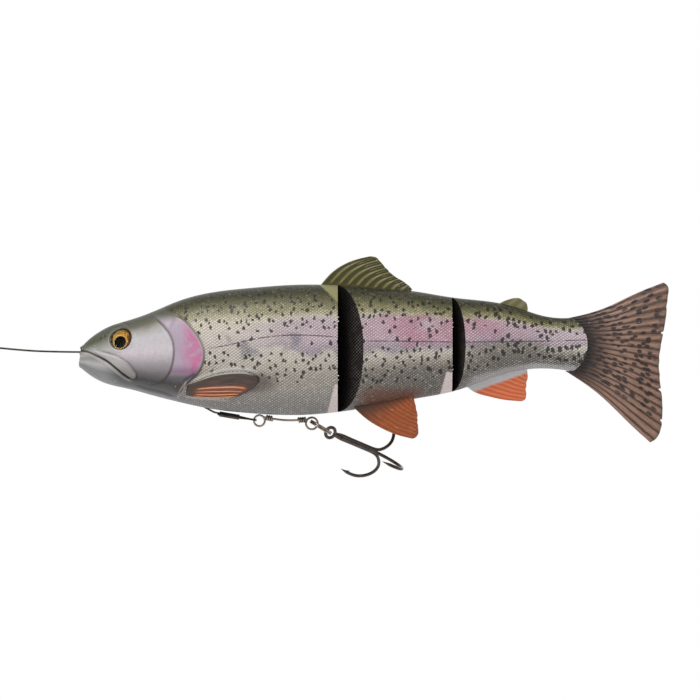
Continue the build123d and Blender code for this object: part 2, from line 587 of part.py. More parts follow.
# ---------------------------------------------------------------- assembly
def main():
    os.makedirs("parts", exist_ok=True)
    body = body_loft()
    skin = body_loft(PECTORAL_LIFT)

    end_prism = Plane.XZ * (Pos(*END_ARC_CENTRE) * Circle(END_ARC_R))
    end_region = extrude(end_prism, amount=BIG / 4, both=True) + slab(BEFORE_NOSE, END_ARC_CENTRE[0] + 2)

    # Cast-in and bonded pieces that the sections are cut for
    front_eyes = [joint_eye(FRONT_AXIS_X, z) for z in FRONT_EYE_Z]
    rear_eyes = [joint_eye(REAR_AXIS_X, z) for z in REAR_EYE_Z]
    head_float, head_weight = core(HEAD_FLOAT), core(HEAD_WEIGHT)
    middle_float, middle_weight = core(MIDDLE_FLOAT), core(MIDDLE_WEIGHT)
    rear_float = core(REAR_FLOAT)
    dorsal, adipose, anal = dorsal_fin(), adipose_fin(), anal_fin()
    pelvic = pelvic_fin()
    iris, dome, socket = eye_parts()

    # Leader and tube
    inner_path, crimp_start, crimp_end, crimp_offset, _ = leader_inner_path()
    leader_inner = swept(inner_path, LEADER_R)
    tube_route = FilletPolyline((-3, 0, 0), TUBE_BEND, Vector(*BELLY_BEND) + crimp_offset, radius=[TUBE_BEND_R])
    tube_outer = swept(tube_route, TUBE_R)
    line_tube = (tube_outer - swept(tube_route, TUBE_BORE_R)) & body

    # Sections
    head = (body & slab(BEFORE_NOSE, FRONT_FACE_X)) - tube_outer - socket - mirrored(socket)
    head = head - front_eyes[0] - front_eyes[1] - head_float - head_weight
    head = head - upright(FRONT_NOSE_R + NEST_GAP, FRONT_AXIS_X, -BIG / 2, BIG / 2)
    middle = (body & nose_region(FRONT_AXIS_X, FRONT_NOSE_R, FRONT_V_SLOPE)) & slab(BEFORE_NOSE, REAR_FACE_X)
    middle = middle - eye_slots(FRONT_AXIS_X, FRONT_EYE_Z) - upright(PIN_R + SEAT, FRONT_AXIS_X, *FRONT_PIN_Z)
    middle = middle - rear_eyes[0] - rear_eyes[1] - middle_float - middle_weight
    middle = middle - upright(REAR_NOSE_R + NEST_GAP, REAR_AXIS_X, -BIG / 2, BIG / 2)
    middle = middle - dorsal - pelvic - mirrored(pelvic)
    rear = (body & nose_region(REAR_AXIS_X, REAR_NOSE_R, REAR_V_SLOPE)) & end_region
    rear = rear - eye_slots(REAR_AXIS_X, REAR_EYE_Z) - upright(PIN_R + SEAT, REAR_AXIS_X, *REAR_PIN_Z)
    rear = rear - tail_pocket() - upright(TAIL_PIN_R + SEAT, TAIL_PIN_X, *TAIL_PIN_Z)
    rear = rear - rear_float - adipose - anal

    save(head, "head_section")
    save(middle, "middle_section")
    save(rear, "rear_section")
    save(tail_shape(), "tail_fin")
    save(line_tube, "line_tube")
    save(head_float, "head_float")
    save(head_weight, "head_weight")
    save(middle_float, "middle_float")
    save(middle_weight, "middle_weight")
    save(rear_float, "rear_float")
    save(dorsal, "dorsal_fin")
    save(adipose, "adipose_fin")
    save(anal, "anal_fin")
    pectoral = pectoral_fin(body, skin)
    for side, turn in (("left", lambda s: s), ("right", mirrored)):
        save(turn(pelvic), f"{side}_pelvic_fin")
        save(turn(pectoral), f"{side}_pectoral_fin")
        save(turn(iris), f"{side}_eye_iris")
        save(turn(dome), f"{side}_eye_dome")
    for place, eyes in (("front", front_eyes), ("rear", rear_eyes)):
        for height, eye in zip(("upper", "lower"), eyes):
            save(eye, f"{place}_joint_{height}_eye")
    save(upright(PIN_R, FRONT_AXIS_X, *FRONT_PIN_Z), "front_joint_pin")
    save(upright(PIN_R, REAR_AXIS_X, *REAR_PIN_Z), "rear_joint_pin")
    save(upright(TAIL_PIN_R, TAIL_PIN_X, *TAIL_PIN_Z), "tail_pin")

    # Rig
    save(leader_inner, "leader_inner")
    save(double_barrel(crimp_start, crimp_end, crimp_offset), "belly_crimp")
    save(wire_link(), "wire_link")
    save(split_ring(), "split_ring")
    double, single = treble_parts()
    save(double, "treble_double_hook")
    save(single, "treble_single_hook")

    # Free leader and what it ends in
    save(swept(route_path(LEADER_ROUTE), LEADER_R), "leader_front")
    end = leader_end_frame().location
    save(end * front_loop(), "leader_loop")
    half = Vector(CRIMP_PITCH / 2, 0, 0)
    sleeve = double_barrel(half, half + Vector(0, 0, FRONT_CRIMP_L), half * -1)
    save(end * sleeve, "leader_crimp")
    swivel_rear, swivel_barrel, swivel_front = swivel_parts()
    save(end * swivel_rear, "swivel_rear_eye")
    save(end * swivel_barrel, "swivel_barrel")
    save(end * swivel_front, "swivel_front_eye")


main()
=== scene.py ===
"""Looks for a line-through trout swimbait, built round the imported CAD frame.

Lengths are in millimetres until a mesh is made, and MM turns them into metres.
X runs from nose to tail, Z is up, and the camera looks at the fish's left side, along +Y.
"""
import json
from math import cos, pi, radians, sin, sqrt, tan

import bmesh
import bpy
import numpy as np
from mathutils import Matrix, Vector


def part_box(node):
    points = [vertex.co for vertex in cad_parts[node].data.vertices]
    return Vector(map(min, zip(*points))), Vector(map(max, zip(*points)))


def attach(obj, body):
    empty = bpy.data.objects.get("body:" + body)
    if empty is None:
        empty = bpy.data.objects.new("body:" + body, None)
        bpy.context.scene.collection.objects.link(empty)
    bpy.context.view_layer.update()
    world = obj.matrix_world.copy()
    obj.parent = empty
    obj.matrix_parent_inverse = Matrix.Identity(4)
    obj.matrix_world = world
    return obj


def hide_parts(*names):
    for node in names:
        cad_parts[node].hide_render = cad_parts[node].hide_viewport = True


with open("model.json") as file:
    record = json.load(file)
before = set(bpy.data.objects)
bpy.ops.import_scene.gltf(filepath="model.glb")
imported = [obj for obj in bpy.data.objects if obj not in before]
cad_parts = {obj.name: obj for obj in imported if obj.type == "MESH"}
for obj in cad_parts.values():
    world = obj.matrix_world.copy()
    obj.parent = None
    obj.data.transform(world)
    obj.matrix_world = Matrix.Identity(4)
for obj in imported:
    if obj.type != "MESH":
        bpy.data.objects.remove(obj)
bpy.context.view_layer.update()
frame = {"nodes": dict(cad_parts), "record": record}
MM = 0.001

# ---------------------------------------------------------------- driving dimensions
# Body stations, as in the CAD: distance from the nose, back height, belly height, half width.
STATIONS = [
    (0.0, 1.8, -6.8, 2.6),
    (2.2, 4.2, -8.6, 4.4),
    (6.5, 7.7, -11.5, 6.6),
    (12.0, 10.8, -13.8, 8.5),
    (20.0, 13.4, -15.6, 10.4),
    (30.0, 16.9, -18.3, 12.3),
    (41.0, 21.5, -21.1, 13.6),
    (55.0, 25.2, -24.1, 14.5),
    (72.0, 27.2, -26.0, 14.9),
    (90.0, 28.5, -26.8, 14.8),
    (108.0, 28.4, -25.6, 14.2),
    (125.0, 27.3, -23.0, 13.1),
    (142.0, 25.7, -19.8, 11.7),
    (158.0, 23.1, -16.7, 10.2),
    (172.0, 21.6, -12.0, 8.3),
    (184.0, 19.2, -8.3, 6.5),
    (196.0, 15.4, -7.0, 5.0),
    (206.0, 14.4, -7.8, 4.2),
    (216.0, 15.6, -9.6, 3.9),
]
BACK_POWER, BELLY_POWER = 2.0, 2.3
LIP_R, LIP_REACH = 1.2, 0.8
CAP_COLUMNS = 80  # of the grid over a section's end face

FRONT_FACE_X, REAR_FACE_X = 109.0, 157.42
FRONT_NOSE_R, REAR_NOSE_R = 2.0, 1.8
FRONT_V_SLOPE, REAR_V_SLOPE = 0.867, 0.62
NEST_GAP = 0.2  # between a nose and its groove in the section ahead
END_ARC_CENTRE, END_ARC_R = (201.3, 3.1), 13.5
EYE_SLOT_R, EYE_SLOT_HALF, EYE_SLOT_WIDE = 1.75, 0.85, 1.5
EYE_BOSS_R, EYE_BOSS_HALF = 1.5, 0.4
POCKET_HALF, POCKET_FLARE = 1.3, tan(radians(12.0))
POCKET_Z = (-3.0, 9.0)

TONGUE_R, TONGUE_END, TONGUE_END_HALF, TONGUE_Z, TONGUE_BEVEL = 1.0, 216.4, 0.55, (-2.6, 8.6), 0.3

EYE_YAW, EYE_PITCH, EYE_R = radians(20.0), radians(15.0), 4.6
LINE_EXIT, LINE_EXIT_SLOPE = (56.6, 0.0, -25.9), radians(28.5)
LEADER_R = 0.4
LINK_FRONT_EYE, LINK_FRONT_EYE_R = (75.75, -29.15), 2.3
LINK_REAR_EYE, LINK_REAR_EYE_R = (98.0, -30.3), 2.5
LINK_WIRE_R = 0.45
RING_FRONT, RING_SLOPE, RING_R = (97.6, -29.4), radians(31.0), 4.9
RING_WIRE_R, RING_COIL_OFFSET = 0.4, 0.38
TREBLE_TURN, TREBLE_RISE = radians(34.0), radians(6.0)
HOOK_WIRE_R, HOOK_EYE_R, HOOK_EYE_GAP, HOOK_AXIS_GAP = 0.72, 2.3, 0.42, 0.86
HOOK_TAPER = 4.2  # length of the point
HOOK_ANGLES, SINGLE_ANGLE = (radians(34.0), radians(154.0)), radians(-86.0)
# One hook: along the shank and out from its own wire's line
HOOK_LINE = [(9.0, 0.0), (14.0, 0.0), (20.0, 0.0), (26.0, 0.0), (29.6, 0.5), (33.2, 2.8), (35.7, 6.2), (36.2, 9.8),
             (34.7, 13.3), (31.4, 15.6), (27.4, 16.0), (22.2, 15.4)]
SOLDER = [(5.0, 0.75), (7.0, 1.1), (9.0, 1.12), (12.0, 0.62), (29.0, 0.5)]  # along the shank, and its radius
# The free leader's route, in metres, as in the CAD
LEADER_ROUTE = [(0.0, 0.0, 0.0), (-0.014, 0.0, 0.0001), (-0.027, 0.0, 0.0009), (-0.0405, 0.0, 0.0023)]

CAMERA_LENS = 200.0
CAMERA_SENSOR = 36.0
VIEW_WIDTH = 0.2971  # of the middle plane, in metres
VIEW_CENTRE = (0.1142, 0.00085)
ROOM_LIGHT = 0.3
FLOOR_LEVEL = -0.2
FLOOR_CORNERS = [(-0.8, -0.9), (1.0, -0.9), (1.0, 0.5), (-0.8, 0.5)]


# ---------------------------------------------------------------- numbers from the frame
def joint_x(name):
    """Where a vertical joint stands, in millimetres."""
    return next(j["pos_m"][0] for j in frame["record"]["behaviour"]["joints"] if j["name"] == name) / MM


def middle_of(node):
    """The centre of a CAD node's box, in millimetres."""
    low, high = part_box(node)
    return (np.array(low) + np.array(high)) / 2 / MM


FRONT_AXIS_X, REAR_AXIS_X, TAIL_PIN_X = joint_x("front_joint"), joint_x("rear_joint"), joint_x("tail_sway")


# ---------------------------------------------------------------- maths
def srgb(r, g, b):
    """An 8-bit screen colour as the linear colour that a shader socket holds."""
    def linear(c):
        c /= 255
        return c / 12.92 if c <= 0.04045 else ((c + 0.055) / 1.055) ** 2.4
    return (linear(r), linear(g), linear(b), 1.0)


def smoothstep(low, high, x):
    t = np.clip((np.asarray(x, float) - low) / (high - low), 0, 1)
    return t * t * (3 - 2 * t)


def bump(x, width):
    """A soft ridge, 1 at x = 0."""
    return np.exp(-((x / width) ** 2))


def spline_through(knots, values):
    """A natural cubic spline through values, as a function of position."""
    t, v = np.asarray(knots, float), np.asarray(values, float)
    count, step = len(t), np.diff(t)
    system, right = np.eye(count), np.zeros_like(v)
    for i in range(1, count - 1):
        system[i, i - 1 : i + 2] = step[i - 1], 2 * (step[i - 1] + step[i]), step[i]
        right[i] = 6 * ((v[i + 1] - v[i]) / step[i] - (v[i] - v[i - 1]) / step[i - 1])
    bend = np.linalg.solve(system, right)

    def at(x):
        x = np.clip(np.asarray(x, float), t[0], t[-1])
        i = np.clip(np.searchsorted(t, x) - 1, 0, count - 2)
        h, a, b = step[i], (t[i + 1] - x) / step[i], (x - t[i]) / step[i]
        h, a, b = (q[..., None] for q in (h, a, b))
        return a * v[i] + b * v[i + 1] + ((a**3 - a) * bend[i] + (b**3 - b) * bend[i + 1]) * h * h / 6

    return at


def smooth_curve(points, count):
    """count points, evenly spaced, on a smooth curve through points."""
    p = np.asarray(points, float)
    run = np.concatenate([[0], np.cumsum(np.linalg.norm(np.diff(p, axis=0), axis=1))])
    fine = spline_through(run, p)(np.linspace(0, run[-1], 20 * count))
    gone = np.concatenate([[0], np.cumsum(np.linalg.norm(np.diff(fine, axis=0), axis=1))])
    even = np.linspace(0, gone[-1], count)
    return np.stack([np.interp(even, gone, fine[:, k]) for k in range(p.shape[1])], axis=1)


def beside(points, x, z, samples=240):
    """For places in the side view: the distance to the right of a curve, and how far along it, from 0 to 1."""
    curve = smooth_curve(points, samples)
    along = np.gradient(curve, axis=0)
    along /= np.linalg.norm(along, axis=1)[:, None]
    flat = np.stack([np.ravel(x), np.ravel(z)], axis=1)
    gap, share = np.empty(len(flat)), np.empty(len(flat))
    for start in range(0, len(flat), 20000):
        part = flat[start : start + 20000]
        near = ((part[:, None, :] - curve[None]) ** 2).sum(2).argmin(1)
        away = part - curve[near]
        gap[start : start + 20000] = away[:, 0] * along[near, 1] - away[:, 1] * along[near, 0]
        share[start : start + 20000] = near / (samples - 1)
    return gap.reshape(np.shape(x)), share.reshape(np.shape(x))


def ends_fade(share, width=0.08):
    return smoothstep(0, width, share) * (1 - smoothstep(1 - width, 1, share))


# ---------------------------------------------------------------- the body's surface
PROFILE = spline_through([s[0] for s in STATIONS], [s[1:] for s in STATIONS])


def skin_point(x, angle, side):
    """A point of the skin: angle runs from the belly, -90 degrees, to the back, 90. side is -1 on the left."""
    top, bottom, half = np.moveaxis(PROFILE(x), -1, 0)
    s, c = np.sin(angle), np.abs(np.cos(angle))
    power = np.where(s >= 0, BACK_POWER, BELLY_POWER)
    y = side * half * c ** (2 / power)
    z = (top + bottom) / 2 + (top - bottom) / 2 * np.sign(s) * np.abs(s) ** (2 / power)
    return np.stack([x, y, z], axis=-1)


def skin_y(x, z):
    """Half the body's width at a height."""
    top, bottom, half = np.moveaxis(PROFILE(x), -1, 0)
    share = np.clip((z - (top + bottom) / 2) / ((top - bottom) / 2), -1, 1)
    power = np.where(share >= 0, BACK_POWER, BELLY_POWER)
    return half * (1 - np.abs(share) ** power) ** (1 / power)


def v_face(axis_x, nose_r, slope):
    """The front face of a section that follows a joint: a V with a round tip on the hinge axis."""
    steep = sqrt(1 + slope**2)
    edge, apex = nose_r * slope / steep, axis_x - nose_r * steep

    def face(y, z):
        y = np.abs(y)
        return np.where(y < edge, axis_x - np.sqrt(np.maximum(nose_r**2 - y * y, 0)), apex + slope * y)

    return face


def grooved_face(x, axis_x, nose_r, eyes):
    """The flat rear face of a section, with a groove for the next nose and a boss in it before each joint eye."""
    reach = nose_r + NEST_GAP

    def face(y, z):
        groove = np.minimum(x, axis_x - np.sqrt(np.maximum(reach**2 - y * y, 0)))
        for height in eyes:
            boss = (np.abs(y) < EYE_BOSS_HALF) & (np.abs(z - height) < EYE_SLOT_HALF)
            groove = np.where(boss, axis_x - EYE_BOSS_R, groove)
        return groove

    return face


def end_face(y, z):
    """The rounded end of the rear section."""
    cx, cz = END_ARC_CENTRE
    return cx + np.sqrt(np.maximum(END_ARC_R**2 - (z - cz) ** 2, 1.0)) + 0 * y


# ---------------------------------------------------------------- mesh helpers
def object_from(name, points, faces, materials, face_materials=None, attributes=None, sharp=None):
    """A closed mesh object from points in millimetres."""
    mesh = bpy.data.meshes.new(name)
    mesh.from_pydata((np.asarray(points) * MM).tolist(), [], [list(f) for f in faces])
    for m in materials:
        mesh.materials.append(m)
    for key, values in (attributes or {}).items():
        layer = mesh.attributes.new(key, "FLOAT", "POINT")
        layer.data.foreach_set("value", np.asarray(values, np.float32).ravel())
    if face_materials is not None:
        mesh.polygons.foreach_set("material_index", np.asarray(face_materials, np.int32))
    bm = bmesh.new()
    bm.from_mesh(mesh)
    bmesh.ops.recalc_face_normals(bm, faces=bm.faces)
    bm.to_mesh(mesh)
    bm.free()
    mesh.polygons.foreach_set("use_smooth", np.full(len(mesh.polygons), True))
    if sharp:
        mesh.set_sharp_from_angle(angle=radians(sharp))
    piece = bpy.data.objects.new(name, mesh)
    bpy.context.scene.collection.objects.link(piece)
    return piece


def place(piece, body, slot, *nodes):
    """A finished piece rides on its body and stands for CAD nodes, which it hides; slot is not used."""
    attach(piece, body)
    if nodes:
        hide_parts(*nodes)
    return piece


def grid_faces(columns, around, closed=True):
    """Quads of a grid with that many columns of points and points round each."""
    i = np.arange(columns - 1)[:, None] * around
    k = np.arange(around if closed else around - 1)[None]
    n = (k + 1) % around
    return np.stack([i + k, i + around + k, i + around + n, i + n], axis=-1).reshape(-1, 4)


def tube(points, radii, sides=16, closed=False):
    """Points and faces of a round wire along points, with a radius at each."""
    p = np.asarray(points, float)
    count = len(p)
    radii = np.broadcast_to(np.asarray(radii, float), (count,))
    ahead = np.roll(p, -1, 0) - np.roll(p, 1, 0) if closed else np.gradient(p, axis=0)
    ahead /= np.linalg.norm(ahead, axis=1)[:, None]
    side = np.cross(ahead[0], (0.3, 0.5, 0.8))
    rings = []
    turns = np.linspace(0, 2 * pi, sides, endpoint=False)
    for i in range(count):
        side = side - ahead[i] * side.dot(ahead[i])
        side /= np.linalg.norm(side)
        other = np.cross(ahead[i], side)
        rings.append(p[i] + radii[i] * (np.cos(turns)[:, None] * side + np.sin(turns)[:, None] * other))
    faces = grid_faces(count, sides).tolist()
    if closed:
        # The last ring joins the first with the least twist.
        gaps = [np.linalg.norm(rings[0][s] - rings[-1][0]) for s in range(sides)]
        twist = int(np.argmin(gaps))
        last = (count - 1) * sides
        for k in range(sides):
            n = (k + 1) % sides
            faces.append([last + k, (k + twist) % sides, (n + twist) % sides, last + n])
        return np.concatenate(rings), faces
    for end in (0, count - 1):
        faces.append(list(range(end * sides, end * sides + sides)))
    return np.concatenate(rings), faces


def shell(sheets, across, along):
    """Points and faces of a thin closed shape, from the grids of points on its two sides."""
    count = across * along
    quads = grid_faces(across, along, closed=False)
    faces = quads.tolist() + (quads[:, ::-1] + count).tolist()
    ring = [i * along for i in range(across)] + [(across - 1) * along + k for k in range(1, along)]
    ring += [i * along + along - 1 for i in range(across - 2, -1, -1)] + list(range(along - 2, 0, -1))
    faces += [[a, b, b + count, a + count] for a, b in zip(ring, ring[1:] + ring[:1])]
    return np.concatenate([sheet.reshape(-1, 3) for sheet in sheets]), faces


def joined(parts):
    """Several (points, faces) as one."""
    points, faces, base = [], [], 0
    for p, f in parts:
        points.append(np.asarray(p))
        faces += [[v + base for v in face] for face in f]
        base += len(p)
    return np.concatenate(points), faces


def lathe(profile, sides=32):
    """Points and faces of a turned shape about Z, from (radius, height) pairs that start and end at radius 0."""
    turns = np.linspace(0, 2 * pi, sides, endpoint=False)
    inner = profile[1:-1]
    rings = [np.stack([r * np.cos(turns), r * np.sin(turns), np.full(sides, h)], axis=1) for r, h in inner]
    points = np.concatenate(rings + [[[0, 0, profile[0][1]]], [[0, 0, profile[-1][1]]]])
    faces = grid_faces(len(inner), sides).tolist()
    low, high, last = len(points) - 2, len(points) - 1, (len(inner) - 1) * sides
    for k in range(sides):
        n = (k + 1) % sides
        faces += [[low, n, k], [high, last + k, last + n]]
    return points, faces


# ---------------------------------------------------------------- shader helper
class Graph:
    """A short way to write a material's nodes. Sockets may be node outputs or plain values."""

    def __init__(self, name):
        self.material = bpy.data.materials.new(name)
        self.material.use_nodes = True
        self.nodes, self.links = self.material.node_tree.nodes, self.material.node_tree.links
        self.shader = self.nodes["Principled BSDF"]
        self.place = self.node("ShaderNodeTexCoord").outputs["Object"]

    def node(self, kind, **settings):
        made = self.nodes.new(kind)
        for key, value in settings.items():
            setattr(made, key, value)
        return made

    def feed(self, socket, value):
        if isinstance(value, bpy.types.NodeSocket):
            self.links.new(value, socket)
        else:
            socket.default_value = value

    def attribute(self, name):
        return self.node("ShaderNodeAttribute", attribute_name=name).outputs["Fac"]

    def math(self, operation, *values):
        made = self.node("ShaderNodeMath", operation=operation)
        for socket, value in zip(made.inputs, values):
            self.feed(socket, value)
        return made.outputs[0]

    def times(self, first, *others):
        for value in others:
            first = self.math("MULTIPLY", first, value)
        return first

    def line(self, value, slope, start):
        return self.math("MULTIPLY_ADD", value, slope, start)

    def plus(self, first, second):
        return self.math("ADD", first, second)

    def minus(self, first, second):
        return self.math("SUBTRACT", first, second)

    def most(self, first, second):
        return self.math("MAXIMUM", first, second)

    def scaled(self, scale):
        """The place, in steps of 1 / scale metres each way."""
        made = self.node("ShaderNodeMapping")
        self.feed(made.inputs["Vector"], self.place)
        made.inputs["Scale"].default_value = scale if hasattr(scale, "__len__") else (scale,) * 3
        return made.outputs[0]

    def split(self):
        made = self.node("ShaderNodeSeparateXYZ")
        self.feed(made.inputs[0], self.place)
        return made.outputs

    def join(self, x, y, z=0.0):
        made = self.node("ShaderNodeCombineXYZ")
        for socket, value in zip(made.inputs, (x, y, z)):
            self.feed(socket, value)
        return made.outputs[0]

    def noise(self, vector, scale=1.0, detail=3.0):
        made = self.node("ShaderNodeTexNoise")
        self.feed(made.inputs["Vector"], vector)
        for key, value in (("Scale", scale), ("Detail", detail), ("Roughness", 0.55)):
            made.inputs[key].default_value = value
        return made.outputs["Fac"]

    def cells(self, vector, scale=1.0, dimensions="3D"):
        """Distance to the nearest of scattered points, and a random number for each."""
        made = self.node("ShaderNodeTexVoronoi", voronoi_dimensions=dimensions)
        self.feed(made.inputs["Vector"], vector)
        made.inputs["Scale"].default_value = scale
        channel = self.node("ShaderNodeSeparateColor")
        self.feed(channel.inputs[0], made.outputs["Color"])
        return made.outputs["Distance"], channel.outputs[0]

    def step(self, value, low, high):
        """0 below low and 1 above high, or the other way round where low is the larger."""
        made = self.node("ShaderNodeMapRange", interpolation_type="SMOOTHSTEP")
        for key, number in (("Value", value), ("From Min", low), ("From Max", high)):
            self.feed(made.inputs[key], number)
        return made.outputs[0]

    def ramp(self, value, stops):
        made = self.node("ShaderNodeValToRGB")
        self.feed(made.inputs[0], value)
        points = made.color_ramp.elements
        while len(points) < len(stops):
            points.new(0.5)
        for point, (at, colour) in zip(points, stops):
            point.position, point.color = at, colour
        return made.outputs[0]

    def mix(self, share, first, second, kind="MIX"):
        made = self.node("ShaderNodeMix", data_type="RGBA", blend_type=kind)
        self.feed(made.inputs[0], share)
        self.feed(made.inputs[6], first)
        self.feed(made.inputs[7], second)
        return made.outputs[2]

    def finish(self, colour, roughness, height=None, strength=1.0, distance=0.0003, **values):
        self.feed(self.shader.inputs["Base Color"], colour)
        self.feed(self.shader.inputs["Roughness"], roughness)
        for key, value in values.items():
            self.shader.inputs[key.replace("_", " ")].default_value = value
        if height is not None:
            made = self.node("ShaderNodeBump")
            made.inputs["Strength"].default_value = strength
            made.inputs["Distance"].default_value = distance
            self.feed(made.inputs["Height"], height)
            self.links.new(made.outputs[0], self.shader.inputs["Normal"])
        return self.material


# ---------------------------------------------------------------- materials
def glints(g, vector, spacing, size=0.1):
    """Sparse bright specks: painted glints of the glitter in the paint."""
    gap, chance = g.cells(vector, 1 / (spacing * MM))
    return g.times(g.step(gap, size, size * 0.5), g.step(chance, 0.55, 0.6))


def skin_material():
    """Printed trout skin: back, flank, stripe, belly and head, scales, speckles, dark paint and painted shade in the
    creases, and painted highlights.
    """
    g = Graph("trout_skin")
    height, girth, scaly = g.attribute("height"), g.attribute("girth"), g.attribute("scaly")
    x = g.times(g.split()[0], 1 / MM)
    wander = g.noise(g.place, 160.0, 4.0)
    fine = g.noise(g.place, 900.0, 3.0)
    share = g.line(height, 0.5, 0.5)
    share = g.plus(share, g.line(wander, 0.05, -0.025))

    # The grey towards the belly is partly paint and partly painted shade.
    flank = g.ramp(share, [
        (0.0, srgb(140, 138, 138)), (0.10, srgb(152, 148, 144)), (0.20, srgb(168, 162, 155)),
        (0.33, srgb(182, 174, 162)), (0.43, srgb(214, 206, 194)), (0.56, srgb(230, 220, 212)),
        (0.74, srgb(234, 226, 204)), (0.81, srgb(166, 160, 116)), (0.87, srgb(104, 101, 60)),
        (0.935, srgb(58, 56, 28)), (1.0, srgb(38, 38, 22)),
    ])
    # The lower flank is darker behind the first joint, and the whole side before the tail.
    low_dark = g.times(g.step(x, 106.0, 118.0), g.step(share, 0.46, 0.26))
    side_dark = g.times(g.step(x, 155.0, 172.0), g.step(x, 206.0, 192.0))
    side_dark = g.times(side_dark, g.step(share, 0.70, 0.58))
    shade = g.most(g.times(low_dark, 0.66), g.times(side_dark, 0.62))
    flank = g.mix(shade, flank, srgb(78, 70, 64))
    flank = g.mix(g.times(g.step(x, 160.0, 170.0), g.step(share, 0.16, 0.06)), flank, srgb(190, 188, 190))
    # The pink stripe strengthens towards the second joint and turns lilac along its lower edge.
    rise = g.step(x, 60.0, 125.0)
    low_edge = g.line(rise, -0.06, 0.50)
    high_edge = g.line(rise, 0.06, 0.735)
    blur = g.line(g.noise(g.place, 90.0, 3.0), 0.16, -0.08)
    placed = g.plus(share, blur)
    stripe = g.times(g.step(placed, low_edge, g.plus(low_edge, 0.05)),
                     g.step(placed, high_edge, g.minus(high_edge, 0.06)), g.step(x, 50.0, 100.0))
    patchy = g.step(g.noise(g.scaled((60.0, 60.0, 90.0)), 1.0, 3.0), 0.28, 0.62)
    strong = g.times(g.step(x, 104.0, 146.0), g.step(x, 200.0, 168.0), patchy)
    pink = g.mix(strong, srgb(208, 186, 200), srgb(198, 128, 160))
    lilac = g.step(placed, g.plus(low_edge, 0.13), low_edge)
    pink = g.mix(g.times(lilac, 0.9), pink, srgb(146, 136, 154))
    colour = g.mix(g.times(stripe, 0.85), flank, pink)

    clouds = g.times(g.step(g.noise(g.place, 75.0, 2.0), 0.52, 0.62), g.step(share, 0.44, 0.50))
    clouds = g.times(clouds, g.step(share, 0.66, 0.60), g.step(x, 112.0, 100.0))
    colour = g.mix(g.times(clouds, g.step(x, 52.0, 62.0), 0.7), colour, srgb(132, 128, 142))

    # Scales: two crossing families of slanted rows, with the rising one stronger
    wobble = g.line(g.noise(g.place, 60.0, 2.0), 0.9, 0.0)
    lean, rise = g.line(x, 0.56, wobble), g.times(girth, 0.80)
    rows = [g.math("FRACT", g.math(op, lean, rise)) for op in ("SUBTRACT", "ADD")]
    ridges = [g.math("ABSOLUTE", g.line(row, 2.0, -1.0)) for row in rows]
    edge = g.most(g.step(ridges[0], 0.30, 0.90), g.times(g.step(ridges[1], 0.40, 0.95), 0.75))
    edge = g.times(edge, scaly, g.line(wander, 0.7, 0.55))
    soft = g.line(g.step(share, 0.92, 0.80), 0.65, 0.35)
    edge = g.times(edge, soft)
    colour = g.mix(g.times(edge, 0.68), colour, g.mix(1.0, colour, srgb(104, 96, 90), "MULTIPLY"))
    # Painted highlight in the middle of each scale, stronger towards the tail
    scale_highlight = g.times(g.step(g.plus(ridges[0], ridges[1]), 0.75, 0.25), g.step(fine, 0.36, 0.56))
    scale_highlight = g.times(scale_highlight, scaly, soft, g.line(g.step(x, 190.0, 203.0), 0.5, 0.45))
    colour = g.mix(scale_highlight, colour, g.mix(0.6, colour, srgb(252, 248, 238)))
    mottle = g.times(g.step(g.noise(g.place, 1500.0, 2.0), 0.50, 0.62), g.step(share, 0.66, 0.80))
    colour = g.mix(g.times(mottle, scaly, 0.35), colour, srgb(66, 64, 38))
    pale = g.times(g.step(fine, 0.56, 0.72), scaly, soft, 0.35)
    colour = g.mix(pale, colour, srgb(228, 220, 200))

    # Black speckles, fewer in the stripe and none on the belly
    flip = g.times(g.math("SIGN", g.split()[1]), 37.3)
    jitter = g.line(g.noise(g.place, 900.0, 2.0), 0.7, -0.35)
    where = g.join(g.line(x, 0.36, flip), g.times(girth, 0.27))
    gap, chance = g.cells(where, 1.0, dimensions="2D")
    size = g.line(chance, 0.10, g.line(g.step(x, 150.0, 190.0), 0.07, 0.19))
    spot = g.step(g.plus(gap, jitter), size, g.minus(size, 0.06))
    wanted = g.most(g.step(share, 0.60, 0.72), g.step(share, 0.52, 0.46))
    lower = g.line(g.step(x, 106.0, 112.0), 0.10, share)
    wanted = g.times(g.most(wanted, 0.22), g.step(lower, 0.25, 0.35))
    wanted = g.times(wanted, g.step(share, 0.985, 0.90))
    limit = g.line(wanted, -0.96, 1.0)
    spot = g.times(spot, g.step(chance, limit, g.plus(limit, 0.02)))
    spot = g.times(spot, scaly, 0.92)
    colour = g.mix(spot, colour, srgb(30, 26, 24))
